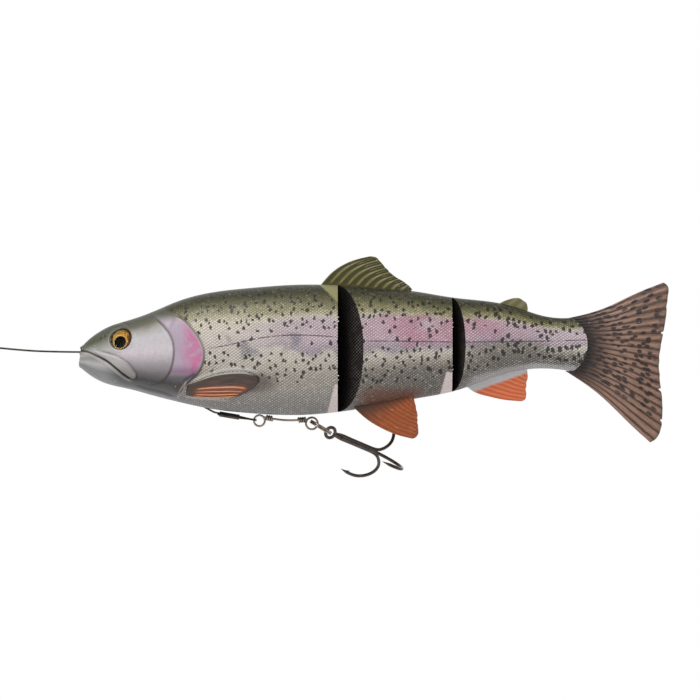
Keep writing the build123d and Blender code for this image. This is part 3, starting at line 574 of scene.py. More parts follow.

    # The head: silver cheeks, olive crown, grey jaw, pink gill cover. Low on the head the grey carries a dark band of
    # painted shade, with a paler painted reflection below it.
    crown = g.ramp(share, [
        (0.0, srgb(140, 139, 143)), (0.08, srgb(104, 103, 106)), (0.20, srgb(60, 58, 57)),
        (0.30, srgb(110, 106, 108)), (0.40, srgb(164, 156, 160)), (0.52, srgb(212, 203, 208)),
        (0.70, srgb(198, 194, 197)), (0.80, srgb(160, 157, 150)), (0.87, srgb(108, 107, 90)),
        (0.95, srgb(76, 78, 60)), (1.0, srgb(58, 60, 44)),
    ])
    snout = g.ramp(share, [
        (0.0, srgb(160, 160, 163)), (0.22, srgb(136, 136, 138)), (0.36, srgb(186, 185, 182)),
        (0.46, srgb(150, 148, 146)), (0.60, srgb(184, 183, 182)), (0.72, srgb(140, 141, 130)),
        (0.82, srgb(92, 94, 76)), (1.0, srgb(62, 64, 48)),
    ])
    crown = g.mix(g.step(x, 20.0, 9.0), crown, snout)
    crown = g.mix(g.times(g.step(fine, 0.42, 0.75), 0.16), crown, srgb(120, 112, 108))
    gill = g.attribute("gill")
    warm = g.times(g.step(x, 40.5, 49.5), g.step(g.noise(g.place, 330.0, 4.0), 0.25, 0.60))
    blush = g.mix(warm, srgb(180, 164, 180), srgb(200, 118, 158))
    blush = g.mix(g.times(g.step(fine, 0.5, 0.7), 0.25), blush, srgb(214, 178, 196))
    crown = g.mix(gill, crown, blush)
    crown = g.mix(g.times(gill, g.step(share, 0.42, 0.30)), crown, srgb(120, 88, 114))
    crown = g.mix(g.attribute("violet"), crown, srgb(62, 44, 78))
    colour = g.mix(scaly, crown, colour)

    # Dark paint with painted shade in the creases, the lateral line, pale paint with painted highlights on raised
    # edges, unprinted corners beside the joints, painted shade beside the fins, and painted glints
    line = g.attribute("line_gap")
    lateral = g.times(g.step(g.math("ABSOLUTE", line), 0.34, 0.12), g.attribute("line_on"))
    dashed = g.step(g.noise(g.place, 700.0, 2.0), 0.32, 0.5)
    colour = g.mix(g.times(lateral, dashed, 0.9), colour, srgb(62, 48, 54))
    colour = g.mix(g.attribute("wash"), colour, srgb(74, 58, 50))
    colour = g.mix(g.attribute("lip"), colour, srgb(214, 210, 205))
    colour = g.mix(g.attribute("corner"), colour, srgb(214, 200, 196))
    colour = g.mix(g.attribute("saddle"), colour, srgb(146, 141, 96))
    # Painted shade beside the fins: grey-brown behind the pectoral fin, brown along the pelvic fins
    colour = g.mix(g.attribute("shade_beside_fins"), colour, g.mix(g.step(x, 90.0, 110.0), srgb(74, 64, 58), srgb(104, 58, 36)))
    colour = g.mix(g.times(glints(g, g.place, 3.2, 0.08), 0.6), colour, srgb(240, 240, 235))

    dome = g.times(g.minus(1.0, edge), scaly)
    height_map = g.line(fine, 0.25, g.times(dome, 0.8))
    rough = g.line(fine, 0.18, 0.34)
    return g.finish(colour, rough, height_map, 0.6, 0.00025, Coat_Weight=0.12, Coat_Roughness=0.22,
                    Specular_IOR_Level=0.38)


def black_material():
    """The black faces inside the joints, with a faint grey scale print towards their outer edges."""
    g = Graph("joint_black")
    _, y, z = g.split()
    out = g.math("ABSOLUTE", y)
    lean, rise = g.times(out, 640.0), g.times(z, 700.0)
    rows = [g.math("FRACT", g.math(op, lean, rise)) for op in ("SUBTRACT", "ADD")]
    ridges = [g.math("ABSOLUTE", g.line(row, 2.0, -1.0)) for row in rows]
    scale = g.step(g.plus(g.times(ridges[0], 1.3), ridges[1]), 1.25, 0.5)
    patch = g.step(g.noise(g.place, 300.0, 2.0), 0.36, 0.60)
    shown = g.times(g.step(out, 0.004, 0.012), g.line(patch, 0.6, 0.4))
    colour = g.mix(g.times(scale, shown), srgb(22, 18, 17), srgb(112, 104, 104))
    return g.finish(colour, 0.5, scale, 0.35, 0.0002, Specular_IOR_Level=0.2)


def fin_material(name, web, ray, ray_width, root, edge, root_at, rays, streak=None, band=None, speck=None):
    """Moulded fin: rays over a darker web, dark at the root, with optional streaks, pale root band and speckles."""
    g = Graph(name)
    across, along = g.attribute("across"), g.attribute("along")
    wander = g.noise(g.scaled(420.0))
    wave = g.times(g.line(wander, 0.012, across), rays)
    crest = g.math("ABSOLUTE", g.line(g.math("FRACT", wave), 2.0, -1.0))
    threads = g.noise(g.join(g.times(across, rays * 5), g.times(along, 5.0)))
    colour = g.mix(g.step(g.line(threads, 0.3, crest), *ray_width), web, ray)
    colour = g.mix(g.times(g.step(threads, 0.42, 0.62), 0.35), colour, web)
    if streak:
        colour = g.mix(g.times(g.step(threads, 0.60, 0.72), 0.6), colour, streak)
    colour = g.mix(g.step(along, root_at, 0.0), colour, root)
    colour = g.mix(g.times(g.step(along, 0.95, 1.0), 0.5), colour, edge)
    if band:
        x, _, z = g.split()
        slope, level, pale = band
        below = g.minus(g.line(x, slope, level * MM), z)
        colour = g.mix(g.step(g.line(wander, 0.001, below), 0.0015, -0.0002), colour, pale)
    if speck:
        gap, chance = g.cells(g.join(g.times(across, speck[0]), g.times(along, speck[1])), 1.0,
                              dimensions="2D")
        blob = g.times(g.step(gap, 0.46, 0.26), g.step(chance, 0.30, 0.36))
        blob = g.times(blob, g.step(across, 0.90, 0.84))
        colour = g.mix(g.times(blob, g.step(along, 1.02, 0.86), 0.9), colour, speck[2])
    # Painted glints of glitter
    colour = g.mix(g.times(glints(g, g.place, 3.0, 0.08), 0.7), colour, srgb(240, 236, 225))
    rough = g.line(wander, 0.2, 0.36)
    relief = g.line(crest, 0.5, g.times(threads, 0.6))
    return g.finish(colour, rough, relief, 0.4, 0.0002, Coat_Weight=0.15, Coat_Roughness=0.25,
                    Specular_IOR_Level=0.35)


def metal(name, colour, roughness):
    """Plated wire: slight colour and gloss changes, and fine drawing marks."""
    g = Graph(name)
    grain = g.noise(g.scaled(2500.0))
    patch = g.noise(g.scaled(220.0), 1.0, 2.0)
    tint = g.mix(g.step(patch, 0.35, 0.7), colour, g.mix(1.0, colour, srgb(205, 196, 186), "MULTIPLY"))
    rough = g.line(grain, 0.08, roughness - 0.04)
    return g.finish(tint, rough, grain, 0.05, 0.00002, Metallic=1.0)


def plastic(name, colour, roughness=0.45):
    """Moulded plastic or resin with a faint grain."""
    g = Graph(name)
    grain = g.noise(g.scaled(1800.0))
    tint = g.mix(g.times(grain, 0.4), colour, g.mix(1.0, colour, srgb(190, 188, 184), "MULTIPLY"))
    rough = g.line(grain, 0.15, roughness - 0.07)
    return g.finish(tint, rough, grain, 0.2, 0.0001)


def iris_material():
    """A printed iris: black pupil low and forward, gold ring, amber field and a dark outer rim."""
    g = Graph("eye_iris")
    a, b = g.attribute("across"), g.attribute("along")
    out = g.math("SQRT", g.plus(g.times(a, a), g.times(b, b)))
    pa, pb = g.plus(a, 0.12), g.plus(b, 0.24)
    pupil = g.math("SQRT", g.plus(g.times(pa, pa), g.times(pb, pb)))
    fibres = g.noise(g.join(g.times(g.math("ARCTAN2", pb, pa), 6.0), g.times(pupil, 2.0)), 2.0, 3.0)
    amber = g.mix(g.step(fibres, 0.3, 0.7), srgb(176, 118, 34), srgb(208, 160, 74))
    low = g.step(g.minus(g.times(a, 0.8), b), -0.1, 1.0)
    amber = g.mix(g.times(low, g.step(pupil, 0.62, 0.9)), amber, srgb(92, 34, 14))
    colour = g.mix(g.step(out, 0.74, 0.95), amber, srgb(46, 32, 24))
    ring = g.times(g.step(pupil, 0.70, 0.65), g.step(pupil, 0.53, 0.57))
    colour = g.mix(ring, colour, srgb(224, 182, 104))
    colour = g.mix(g.step(pupil, 0.565, 0.53), colour, srgb(6, 5, 5))
    return g.finish(colour, 0.5, fibres, 0.15, 0.0001, Specular_IOR_Level=0.1)


def dome_material():
    g = Graph("eye_dome_clear")
    return g.finish((1, 1, 1, 1), 0.02, IOR=1.18, Transmission_Weight=1.0)


# ---------------------------------------------------------------- body relief and masks
PREOPERCLE = [(31.0, 15.0), (36.5, 9.5), (39.2, 4.8), (39.8, -0.8), (38.9, -6.1), (37.0, -10.0), (33.5, -12.6),
              (27.8, -13.6)]
OPERCLE = [(39.6, 15.6), (43.9, 13.4), (47.8, 9.1), (50.8, 4.8), (52.4, 0.4), (52.0, -4.8), (50.2, -8.4),
           (44.9, -13.4), (41.3, -19.4)]
NAPE = [(33.0, 24.0), (36.0, 18.0), (39.6, 15.6)]
MOUTH = [(-1.5, 1.0), (0.6, 0.6), (3.0, 0.1), (6.2, -1.2), (11.8, -4.1), (16.1, -7.5), (21.7, -11.1), (23.4, -11.6)]
MAXILLA = [(6.4, 0.3), (12.0, -2.0), (17.0, -4.9), (20.6, -7.9), (22.4, -9.7)]
MAXILLA_HALF = [0.5, 1.3, 2.1, 2.5, 1.9]
BROW = [(12.2, 8.6), (14.6, 11.2), (18.6, 12.0), (22.2, 10.0)]
JAW_FOLD = [(22.0, -13.4), (29.0, -15.6), (36.0, -17.4), (41.0, -19.2)]
FIN_LIP = [(45.6, -13.9), (47.6, -12.6), (52.6, -10.2), (60.5, -7.7), (68.5, -7.1), (74.5, -8.5), (77.2, -11.0)]
FIN_FOOT = [(43.8, -18.9), (50.0, -19.5), (57.0, -20.0), (64.5, -20.6)]
GILL_MEMBRANE = [(45.4, -11.6), (44.6, -14.0), (43.2, -17.2), (40.6, -19.6)]
GILL_BRUISE = [(43.2, -12.8), (45.4, -11.2), (47.4, -10.0), (49.8, -8.4)]
LATERAL = [
    [(52.5, 1.2), (63.2, 3.0), (72.2, 5.1), (86.9, 7.0), (98.0, 7.0), (108.0, 6.4)],
    [(110.0, 4.6), (130.0, 4.6), (157.0, 4.3)],
    [(158.0, 4.2), (190.0, 4.5), (214.3, 5.1)],
]


def eye_axis(side):
    """The eye's centre on the skin and the way it looks."""
    look = np.array([-sin(EYE_YAW) * cos(EYE_PITCH), side * cos(EYE_YAW) * cos(EYE_PITCH), sin(EYE_PITCH)])
    centre = middle_of("left_eye_iris" if side < 0 else "right_eye_iris")
    return centre, look


def from_eye(points):
    """How far points are from their own side's eye axis."""
    out = np.full(points.shape[:-1], 99.0)
    for side in (-1, 1):
        centre, look = eye_axis(side)
        away = points - centre
        across = away - (away @ look)[..., None] * look
        out = np.where(np.sign(points[..., 1]) == side, np.linalg.norm(across, axis=-1), out)
    return out


def head_relief(points):
    """How far the head's skin stands proud of the plain body, and its masks of paint, painted shade and painted
    highlights.
    """
    x, z = points[..., 0], points[..., 2]
    # The dark mask is paint and painted shade in creases, holes and the eye socket; the pale mask is pale paint and
    # painted highlights on raised edges.
    rise, wash, lip = np.zeros_like(x), np.zeros_like(x), np.zeros_like(x)
    near = x < 62
    px, pz = x[near], z[near]

    def plate(curve, end, height, reach, groove, crease):
        """A gill plate that stands proud along a curve, with a groove, and dark paint and painted shade behind its
        edge.
        """
        gap, share = beside(curve, px, pz)
        behind, fade = -gap, ends_fade(share, end)
        proud = 0.5 * (1 - np.tanh(behind / 0.28)) * height * np.exp(-np.maximum(gap, 0) / reach)
        rise[near] += fade * (proud - groove[0] * bump(behind - groove[1], groove[2]))
        wash[near] += fade * crease[0] * bump(behind - crease[1], crease[2])
        return behind, share

    behind_cheek, _ = plate(PREOPERCLE, 0.08, 0.6, 7, (0.30, 0.35, 0.4), (0.75, 0.25, 0.38))
    behind_gill, share = plate(OPERCLE, 0.06, 0.85, 6, (0.45, 0.4, 0.5), (0.7, 0.3, 0.42))
    lip[near] += ends_fade(share, 0.1) * 0.5 * bump(behind_gill + 0.35, 0.3) * smoothstep(-9, -15, pz)
    inside = smoothstep(0.1, 0.7, behind_cheek) * smoothstep(-0.1, -0.7, behind_gill)
    gill = np.zeros_like(x)
    gill[near] = inside * smoothstep(-10.5, -7.5, pz) * smoothstep(16.5, 11.0, pz)

    gap, share = beside(MOUTH, px, pz)
    fade = 1 - smoothstep(0.90, 1.0, share)
    rise[near] += fade * (-0.75 * bump(gap, 0.42) + 0.30 * bump(gap - 1.1, 0.7) + 0.35 * bump(gap + 1.2, 0.9))
    wash[near] += fade * 0.95 * bump(gap, 0.36)
    lip[near] += fade * 0.35 * bump(gap - 1.0, 0.45) * smoothstep(4, 9, px)

    ticks = bump((share * 30) % 1 - 0.5, 0.22) * smoothstep(0.04, 0.08, share) * smoothstep(0.5, 0.42, share)
    lip[near] += 0.8 * ticks * bump(gap + 0.55, 0.3)

    gap, share = beside(MAXILLA, px, pz)
    half = np.interp(share, np.linspace(0, 1, len(MAXILLA_HALF)), MAXILLA_HALF)
    end = np.array(MAXILLA[-1])
    past = np.where(share >= 1, np.hypot(px - end[0], pz - end[1]), np.abs(gap))
    past = np.where(share <= 0, 9.0, past)
    lobe = np.sqrt(np.maximum(1 - (past / half) ** 2, 0))
    rise[near] += 0.75 * lobe - 0.22 * bump(past - half - 0.15, 0.3) * (share > 0.02)
    wash[near] += 0.45 * bump(past - half - 0.1, 0.28) * smoothstep(0.05, 0.3, share)
    lip[near] += 0.25 * smoothstep(0.4, 0.9, lobe)

    for curve, depth, width in ((BROW, 0.22, 0.5), (JAW_FOLD, 0.4, 0.5)):
        gap, share = beside(curve, px, pz)
        rise[near] += ends_fade(share, 0.2) * (depth * bump(gap - 0.6, width) - depth * bump(gap, width * 0.6))
        wash[near] += ends_fade(share, 0.2) * 0.35 * bump(gap, width * 0.6)

    for nx, nz in ((8.6, 5.6), (10.4, 6.6)):
        spot = np.hypot(px - nx, pz - nz)
        rise[near] += 0.18 * bump(spot - 0.8, 0.3) - 0.5 * bump(spot, 0.45)
        wash[near] += 0.7 * bump(spot, 0.4)

    out = from_eye(points)
    rise += 0.32 * bump(out - 5.4, 0.55) - 2.6 * smoothstep(EYE_R + 0.2, EYE_R - 0.15, out)
    rise = np.where(out < EYE_R, -2.6, rise)
    wash += 0.55 * bump(out - 4.75, 0.28)

    # The leader's way out through the belly, along the tube
    exit_way = np.array([cos(LINE_EXIT_SLOPE), 0.0, -sin(LINE_EXIT_SLOPE)])
    away = points - LINE_EXIT
    across = np.linalg.norm(away - (away @ exit_way)[..., None] * exit_way, axis=-1)
    hole = smoothstep(1.45, 1.15, across) * (x > 48) * (x < 60) * (z < -15)
    rise -= 2.2 * hole
    wash += hole * 0.8

    violet = np.zeros_like(x)
    gap, share = beside(GILL_BRUISE, px, pz)
    violet[near] = 0.85 * ends_fade(share, 0.25) * bump(gap, 0.75)
    wide = x < 80
    for curve, height, width, pale in ((FIN_LIP, 0.4, 0.6, 0.6), (FIN_FOOT, 0.2, 0.3, 0.4),
                                       (GILL_MEMBRANE, 0.25, 0.3, 0.45)):
        gap, share = beside(curve, x[wide], z[wide])
        rise[wide] += ends_fade(share, 0.15) * height * bump(gap, width)
        lip[wide] += ends_fade(share, 0.15) * pale * bump(gap, width)
    shade = smoothstep(2.6, 0.6, np.hypot((px - 43.2) * 0.5, pz + 15.0))
    wash[near] += 0.75 * shade * smoothstep(0.0, 0.8, -behind_gill)

    gap, _ = beside(NAPE + OPERCLE[1:], px, pz)
    scaly = np.ones_like(x)
    scaly[near] = smoothstep(0.1, 0.9, -gap)
    return rise, {"wash": np.clip(wash, 0, 1), "lip": np.clip(lip, 0, 1), "gill": gill, "scaly": scaly,
                  "violet": violet}


def plain_relief(points):
    zero = np.zeros(points.shape[:-1])
    return zero, {"wash": zero, "lip": zero, "gill": zero, "scaly": zero + 1, "violet": zero}


def middle_relief(points):
    """The middle section's skin is slightly sunk along the foot of the dorsal fin, and dark there with paint and
    painted shade.
    """
    _, paint = plain_relief(points)
    x, y, z = np.moveaxis(points, -1, 0)
    foot = smoothstep(140.5, 138.5, x) * smoothstep(3.6, 1.6, np.abs(y)) * (z > 0)
    return -0.15 * foot, {**paint, "wash": 0.85 * foot}


def corner_mask(points, joint_at, slope_from, low):
    """The unprinted triangle at the lower rear corner of a section."""
    x, z = points[..., 0], points[..., 2]
    edge = slope_from + (z - low) * 0.27
    return smoothstep(-0.3, 0.3, x - edge) * (z < joint_at)


def nose_rings(first):
    """Rings of points ahead of the body's first one: the lips round over into a blunt front."""
    middle = np.array([0.0, first[:, 2].mean()])
    added = []
    for a in np.radians([90, 75, 60, 45, 30, 15]):
        inset = LIP_R * (1 - cos(a))
        ring = first.copy()
        flat = ring[:, 1:] - middle
        length = np.linalg.norm(flat, axis=1)[:, None]
        ring[:, 1:] = middle + flat * np.maximum(length - inset, 0.05) / length
        ring[:, 0] = first[:, 0] - LIP_REACH * sin(a) * (0.35 + 0.65 * smoothstep(-1.0, -5.0, ring[:, 2]))
        added.append(ring)
    return np.array(added)


def outward_normals(grid):
    """A unit vector at each point of a ring-by-ring grid, away from the body's middle line."""
    along, round_it = np.gradient(grid, axis=0), np.roll(grid, -1, 1) - np.roll(grid, 1, 1)
    normal = np.cross(round_it, along)
    normal /= np.maximum(np.linalg.norm(normal, axis=2), 1e-9)[..., None]
    outward = grid - grid.mean(1)[:, None]
    outward[..., 0] = 0
    return normal if (normal * outward).sum() > 0 else -normal


def end_cap(edge, base, count, shape):
    """Points and quads of a grid over a section's end, between the two halves of its edge ring."""
    rows = len(edge) // 2
    even = np.linspace(-1, 1, CAP_COLUMNS + 1)[1:-1]
    shares = 0.5 + 0.5 * np.sign(even) * np.abs(even) ** 1.5
    points, table = [], [[base] * (CAP_COLUMNS + 1)]
    for j in range(1, rows):
        left, right = edge[j], edge[2 * rows - j]
        y = left[1] + (right[1] - left[1]) * shares
        z = np.full_like(y, left[2])
        points.append(np.stack([shape(left[0], y, z), y, z], axis=1))
        inner = range(count + (j - 1) * len(y), count + j * len(y))
        table.append([base + j, *inner, base + 2 * rows - j])
    table.append([base + rows] * (CAP_COLUMNS + 1))
    quads = []
    for low, high in zip(table, table[1:]):
        for k in range(CAP_COLUMNS):
            quad = [low[k], low[k + 1], high[k + 1], high[k]]
            quads.append([v for i, v in enumerate(quad) if v not in quad[:i]])
    return np.concatenate(points), quads


def body_section(name, columns, rows, front, rear, relief, lateral, masks, nose=False, pockets=()):
    """One soft section: a skin grid between its two end faces, and a grid over each face."""
    angle = -pi / 2 + pi * np.concatenate([np.arange(rows + 1), np.arange(rows - 1, 0, -1)]) / rows
    side = np.concatenate([-np.ones(rows + 1), np.ones(rows - 1)])
    side[[0, rows]] = 0
    ends = []
    for face, start in ((front, columns[0]), (rear, columns[-1])):
        x = np.full(2 * rows, float(start))
        for _ in range(40):
            p = skin_point(x, angle, side)
            x = face(p[:, 1], p[:, 2])
        ends.append(x)
    share = (np.asarray(columns) - columns[0]) / (columns[-1] - columns[0])
    x = ends[0][None] + (ends[1] - ends[0])[None] * share[:, None]
    grid = skin_point(x, angle[None], side[None])
    steps = np.linalg.norm(np.diff(grid[:, : rows + 1], axis=1), axis=2)
    run = np.concatenate([np.zeros((len(x), 1)), np.cumsum(steps, axis=1)], axis=1)
    run -= run[:, rows // 2][:, None]
    girth = np.concatenate([run, run[:, rows - 1 : 0 : -1]], axis=1)
    if nose:
        added = nose_rings(grid[0])
        grid = np.concatenate([added, grid])
        girth = np.concatenate([np.repeat(girth[:1], len(added), 0), girth])

    rise, paint = relief(grid)
    rise[[0, -1]] = 0
    grid = grid + outward_normals(grid) * rise[..., None]
    gap, _ = beside(lateral, grid[..., 0], grid[..., 2], 120)
    paint["line_gap"] = gap
    paint["line_on"] = smoothstep(lateral[0][0] - 1, lateral[0][0] + 8, grid[..., 0]) * (np.abs(gap) < 3)
    paint["height"], paint["girth"] = np.broadcast_to(np.sin(angle)[None], girth.shape), girth
    for key, mask in masks.items():
        paint[key] = mask(grid)

    points = [grid.reshape(-1, 3)]
    faces = grid_faces(len(grid), 2 * rows).tolist()
    kinds = [0] * len(faces)
    for column, face in ((0, front), (len(grid) - 1, rear)):
        on_nose = nose and column == 0

        def shape(x, y, z):
            x = nose_cap(x, y, z) if on_nose else face(y, z)
            for pocket in pockets:
                x = pocket(column == 0, x, y, z)
            return x

        inner, quads = end_cap(grid[column], column * 2 * rows, sum(map(len, points)), shape)
        points.append(inner)
        faces += quads
        kinds += [0 if on_nose else 1] * len(quads)
    extra = np.concatenate(points[1:])
    full = {key: np.append(values, np.zeros(len(extra))) for key, values in paint.items()}
    if nose:
        skin_count = len(points[0])
        # Painted shade in the line port and the mouth slit on the nose's front
        dark = smoothstep(1.6, 1.1, np.hypot(extra[:, 1], extra[:, 2])) + 0.8 * bump(extra[:, 2] - 0.7, 0.4)
        full["wash"][skin_count:] = np.clip(dark, 0, 1) * (extra[:, 0] < 5)
        top, bottom = STATIONS[0][1], STATIONS[0][2]
        full["height"][skin_count:] = np.clip((2 * extra[:, 2] - top - bottom) / (top - bottom), -1, 1)
    return object_from(name, np.concatenate(points), faces, [SKIN, BLACK], face_materials=kinds, attributes=full,
                       sharp=42)


def nose_cap(x, y, z):
    """The blunt front of the nose, with the mouth slit across it and the line port in it."""
    port = 1.7 * smoothstep(1.5, 1.2, np.hypot(y, z))
    slit = 0.5 * bump(z - 0.8, 0.35)
    return x + np.maximum(port, slit)


def slot_pocket(axis_x, heights):
    """Room for the joint eyes in the nose of a section."""
    def cut(at_front, x, y, z):
        if not at_front:
            return x
        for height in heights:
            back = axis_x + np.sqrt(np.maximum(EYE_SLOT_R**2 - y * y, 0))
            inside = (np.abs(z - height) < EYE_SLOT_HALF) & (np.abs(y) < EYE_SLOT_WIDE)
            x = np.where(inside, np.maximum(x, back), x)
        return x
    return cut


def tail_pocket(at_front, x, y, z):
    """The flared pocket for the tail's tongue."""
    if at_front:
        return x
    wide = np.abs(y)
    depth = np.where(wide > POCKET_HALF, TAIL_PIN_X + (wide - POCKET_HALF) / POCKET_FLARE,
                     TAIL_PIN_X - np.sqrt(np.maximum(POCKET_HALF**2 - wide**2, 0)))
    inside = (z > POCKET_Z[0]) & (z < POCKET_Z[1])
    return np.where(inside, np.minimum(x, depth), x)


def slot_heights(place_name):
    return [middle_of(f"{place_name}_joint_{which}_eye")[2] for which in ("upper", "lower")]


def build_body():
    none = lambda p: np.zeros(p.shape[:-1])
    head_masks = {
        "corner": lambda p: corner_mask(p, -13.5, 104.6, -25.6),
        "saddle": lambda p: smoothstep(-0.3, 0.3, p[..., 0] - 101.4 - (28.6 - p[..., 2]) * 1.0) * (p[..., 2] > 21),
        # Painted shade on the flank behind the pectoral fin
        "shade_beside_fins": lambda p: 0.7 * smoothstep(9, 3, np.hypot((p[..., 0] - 74) * 0.7, (p[..., 2] + 13) * 1.5)),
    }
    fine = np.concatenate([np.linspace(0, 1.5, 8)[:-1], np.linspace(1.5, 57, 186)[:-1],
                           np.linspace(57, FRONT_FACE_X, 96)])
    front_eyes, rear_eyes = slot_heights("front"), slot_heights("rear")
    head = body_section("head_skin", fine, 150, lambda y, z: 0 * y,
                        grooved_face(FRONT_FACE_X, FRONT_AXIS_X, FRONT_NOSE_R, front_eyes), head_relief,
                        LATERAL[0], head_masks, nose=True)
    place(head, "head", "body_skin", "head_section")
    middle_masks = {
        "corner": lambda p: corner_mask(p, -8.5, 152.6, -17.0),
        "saddle": none,
        # Painted shade on the flank along the pelvic fins' roots
        "shade_beside_fins": lambda p: 0.75 * smoothstep(7, 1, np.abs(p[..., 2] + 19.5 - 0.03 * (p[..., 0] - 130)))
        * smoothstep(114, 124, p[..., 0]) * smoothstep(150, 140, p[..., 0]),
    }
    middle = body_section("middle_skin", np.linspace(FRONT_FACE_X, REAR_FACE_X, 110), 130,
                          v_face(FRONT_AXIS_X, FRONT_NOSE_R, FRONT_V_SLOPE),
                          grooved_face(REAR_FACE_X, REAR_AXIS_X, REAR_NOSE_R, rear_eyes), middle_relief,
                          LATERAL[1], middle_masks, pockets=[slot_pocket(FRONT_AXIS_X, front_eyes)])
    place(middle, "middle", "body_skin", "middle_section")
    rear_masks = {"corner": none, "saddle": none, "shade_beside_fins": none}
    rear = body_section("rear_skin", np.linspace(REAR_FACE_X, 212.0, 130), 120,
                        v_face(REAR_AXIS_X, REAR_NOSE_R, REAR_V_SLOPE), end_face, plain_relief, LATERAL[2],
                        rear_masks, pockets=[slot_pocket(REAR_AXIS_X, rear_eyes), tail_pocket])
    place(rear, "rear", "body_skin", "rear_section")


# ---------------------------------------------------------------- fins
def coons(root, edge, first, last, across, along):
    """A grid of points between four boundary curves: root and edge run across, first and last run along the rays."""
    r, e = smooth_curve(root, across), smooth_curve(edge, across)
    f, l = smooth_curve(first, along), smooth_curve(last, along)
    s, t = np.linspace(0, 1, across)[:, None, None], np.linspace(0, 1, along)[None, :, None]
    blend = (1 - t) * r[:, None] + t * e[:, None] + (1 - s) * f[None] + s * l[None]
    corners = (1 - s) * ((1 - t) * r[0] + t * e[0]) + s * ((1 - t) * r[-1] + t * e[-1])
    return blend - corners


def fin(name, material, grid, thick_root, thick_edge, rays, ridge, move=None, notches=(), seed=1):
    """A thin closed fin with moulded rays that fork towards its edge."""
    across, along = grid.shape[:2]
    s, t = np.meshgrid(np.linspace(0, 1, across), np.linspace(0, 1, along), indexing="ij")
    rng = np.random.default_rng(seed)
    ragged = np.interp(s[:, 0], np.linspace(0, 1, rays * 2), rng.uniform(-1, 1, rays * 2))
    outward = grid[:, -1] - grid[:, -2]
    outward /= np.maximum(np.linalg.norm(outward, axis=1), 1e-6)[:, None]
    push = 0.22 * ragged * np.sin(pi * np.clip(s[:, 0], 0, 1)) ** 0.5
    for at, depth, width in notches:
        push -= depth * bump(s[:, 0] - at, width)
    grid = grid + (outward * push[:, None])[:, None] * smoothstep(0.93, 1.0, t)[..., None]
    fork = smoothstep(0.4, 0.8, t)
    crest = (1 - fork) * np.cos(2 * pi * rays * s) + fork * np.cos(4 * pi * rays * s)
    half = thick_root / 2 * (1 - t) + thick_edge / 2 * t
    rim = np.minimum(smoothstep(0, 0.03, s) * smoothstep(1, 0.97, s), smoothstep(1, 0.95, t)) ** 0.5
    half = half * (0.35 + 0.65 * rim) + ridge * (crest * 0.5) * np.minimum(1, 0.35 + t) * rim * smoothstep(0, 0.05, t)
    sheets = [np.stack([grid[..., 0], side * half, grid[..., 1]], axis=-1) for side in (-1, 1)]
    points, faces = shell(sheets, across, along)
    if move:
        points = move(points)
    both = {"across": np.tile(s.ravel(), 2), "along": np.tile(t.ravel(), 2)}
    return object_from(name, points, faces, [material], attributes=both, sharp=60)


DORSAL = dict(
    root=[(101.8, 28.45), (110.0, 28.15), (120.0, 27.3), (130.0, 26.3), (139.6, 25.2)],
    edge=[(122.6, 40.6), (124.9, 40.3), (126.6, 39.0), (128.4, 36.9), (133.7, 31.8), (138.6, 28.6), (140.6, 26.6)],
    first=[(101.8, 28.45), (105.2, 32.5), (110.2, 36.4), (116.3, 39.1), (122.6, 40.6)],
    last=[(139.6, 25.2), (140.2, 25.9), (140.6, 26.6)],
)
ADIPOSE = dict(
    root=[(176.6, 19.9), (181.0, 18.6), (185.0, 17.4), (188.6, 16.2)],
    edge=[(181.8, 22.4), (184.0, 22.9), (186.6, 22.5), (188.9, 21.0), (189.7, 18.4)],
    first=[(176.6, 19.9), (179.0, 21.4), (181.8, 22.4)],
    last=[(188.6, 16.2), (189.4, 17.2), (189.7, 18.4)],
)
ANAL = dict(
    root=[(163.6, -14.0), (170.0, -11.6), (177.0, -9.0), (188.6, -6.4)],
    edge=[(187.0, -20.9), (188.4, -20.2), (188.9, -15.0), (189.5, -10.6), (189.5, -8.2)],
    first=[(163.6, -14.6), (166.6, -16.8), (172.6, -18.8), (179.0, -20.2), (187.0, -20.9)],
    last=[(188.6, -6.4), (189.2, -7.2), (189.5, -8.2)],
)
PELVIC = dict(
    root=[(116.2, -22.6), (122.0, -20.6), (130.0, -18.9), (141.0, -17.6)],
    edge=[(140.6, -37.0), (142.0, -36.4), (142.9, -31.0), (142.4, -25.0), (141.4, -20.4)],
    first=[(115.9, -23.6), (120.8, -28.2), (127.4, -32.4), (134.0, -35.3), (140.6, -37.0)],
    last=[(141.0, -17.6), (141.3, -19.0), (141.4, -20.4)],
)
TAIL = dict(
    root=[(207.2, 14.4), (211.6, 11.0), (214.3, 6.6), (214.8, 2.0), (213.75, -2.2), (211.75, -5.4), (209.5, -7.6),
          (205.4, -7.95)],
    edge=[(247.2, 29.5), (248.7, 28.4), (249.0, 22.6), (248.2, 14.0), (246.8, 6.0), (245.4, -1.3), (245.6, -9.0),
          (246.4, -18.0), (246.9, -26.0), (246.2, -32.4), (244.5, -36.4), (241.6, -38.4)],
    first=[(207.2, 14.5), (213.1, 15.8), (222.8, 18.9), (235.0, 24.6), (247.2, 29.5)],
    last=[(205.4, -7.95), (209.6, -10.6), (215.5, -14.6), (222.8, -20.6), (232.6, -30.2), (241.6, -38.4)],
)
PELVIC_ROOT = (-4.2, -19.5, radians(12.0))  # of the left fin: its root's place across and up, and its splay


def splay(side):
    """Turns a fin that was drawn upright out about its root."""
    y0, z0, angle = PELVIC_ROOT

    def move(points):
        p = points.copy()
        y, z = points[:, 1], points[:, 2] - z0
        p[:, 1] = y0 + y * cos(angle) + z * sin(angle)
        p[:, 2] = z0 - y * sin(angle) + z * cos(angle)
        p[:, 1] *= -side
        return p

    return move


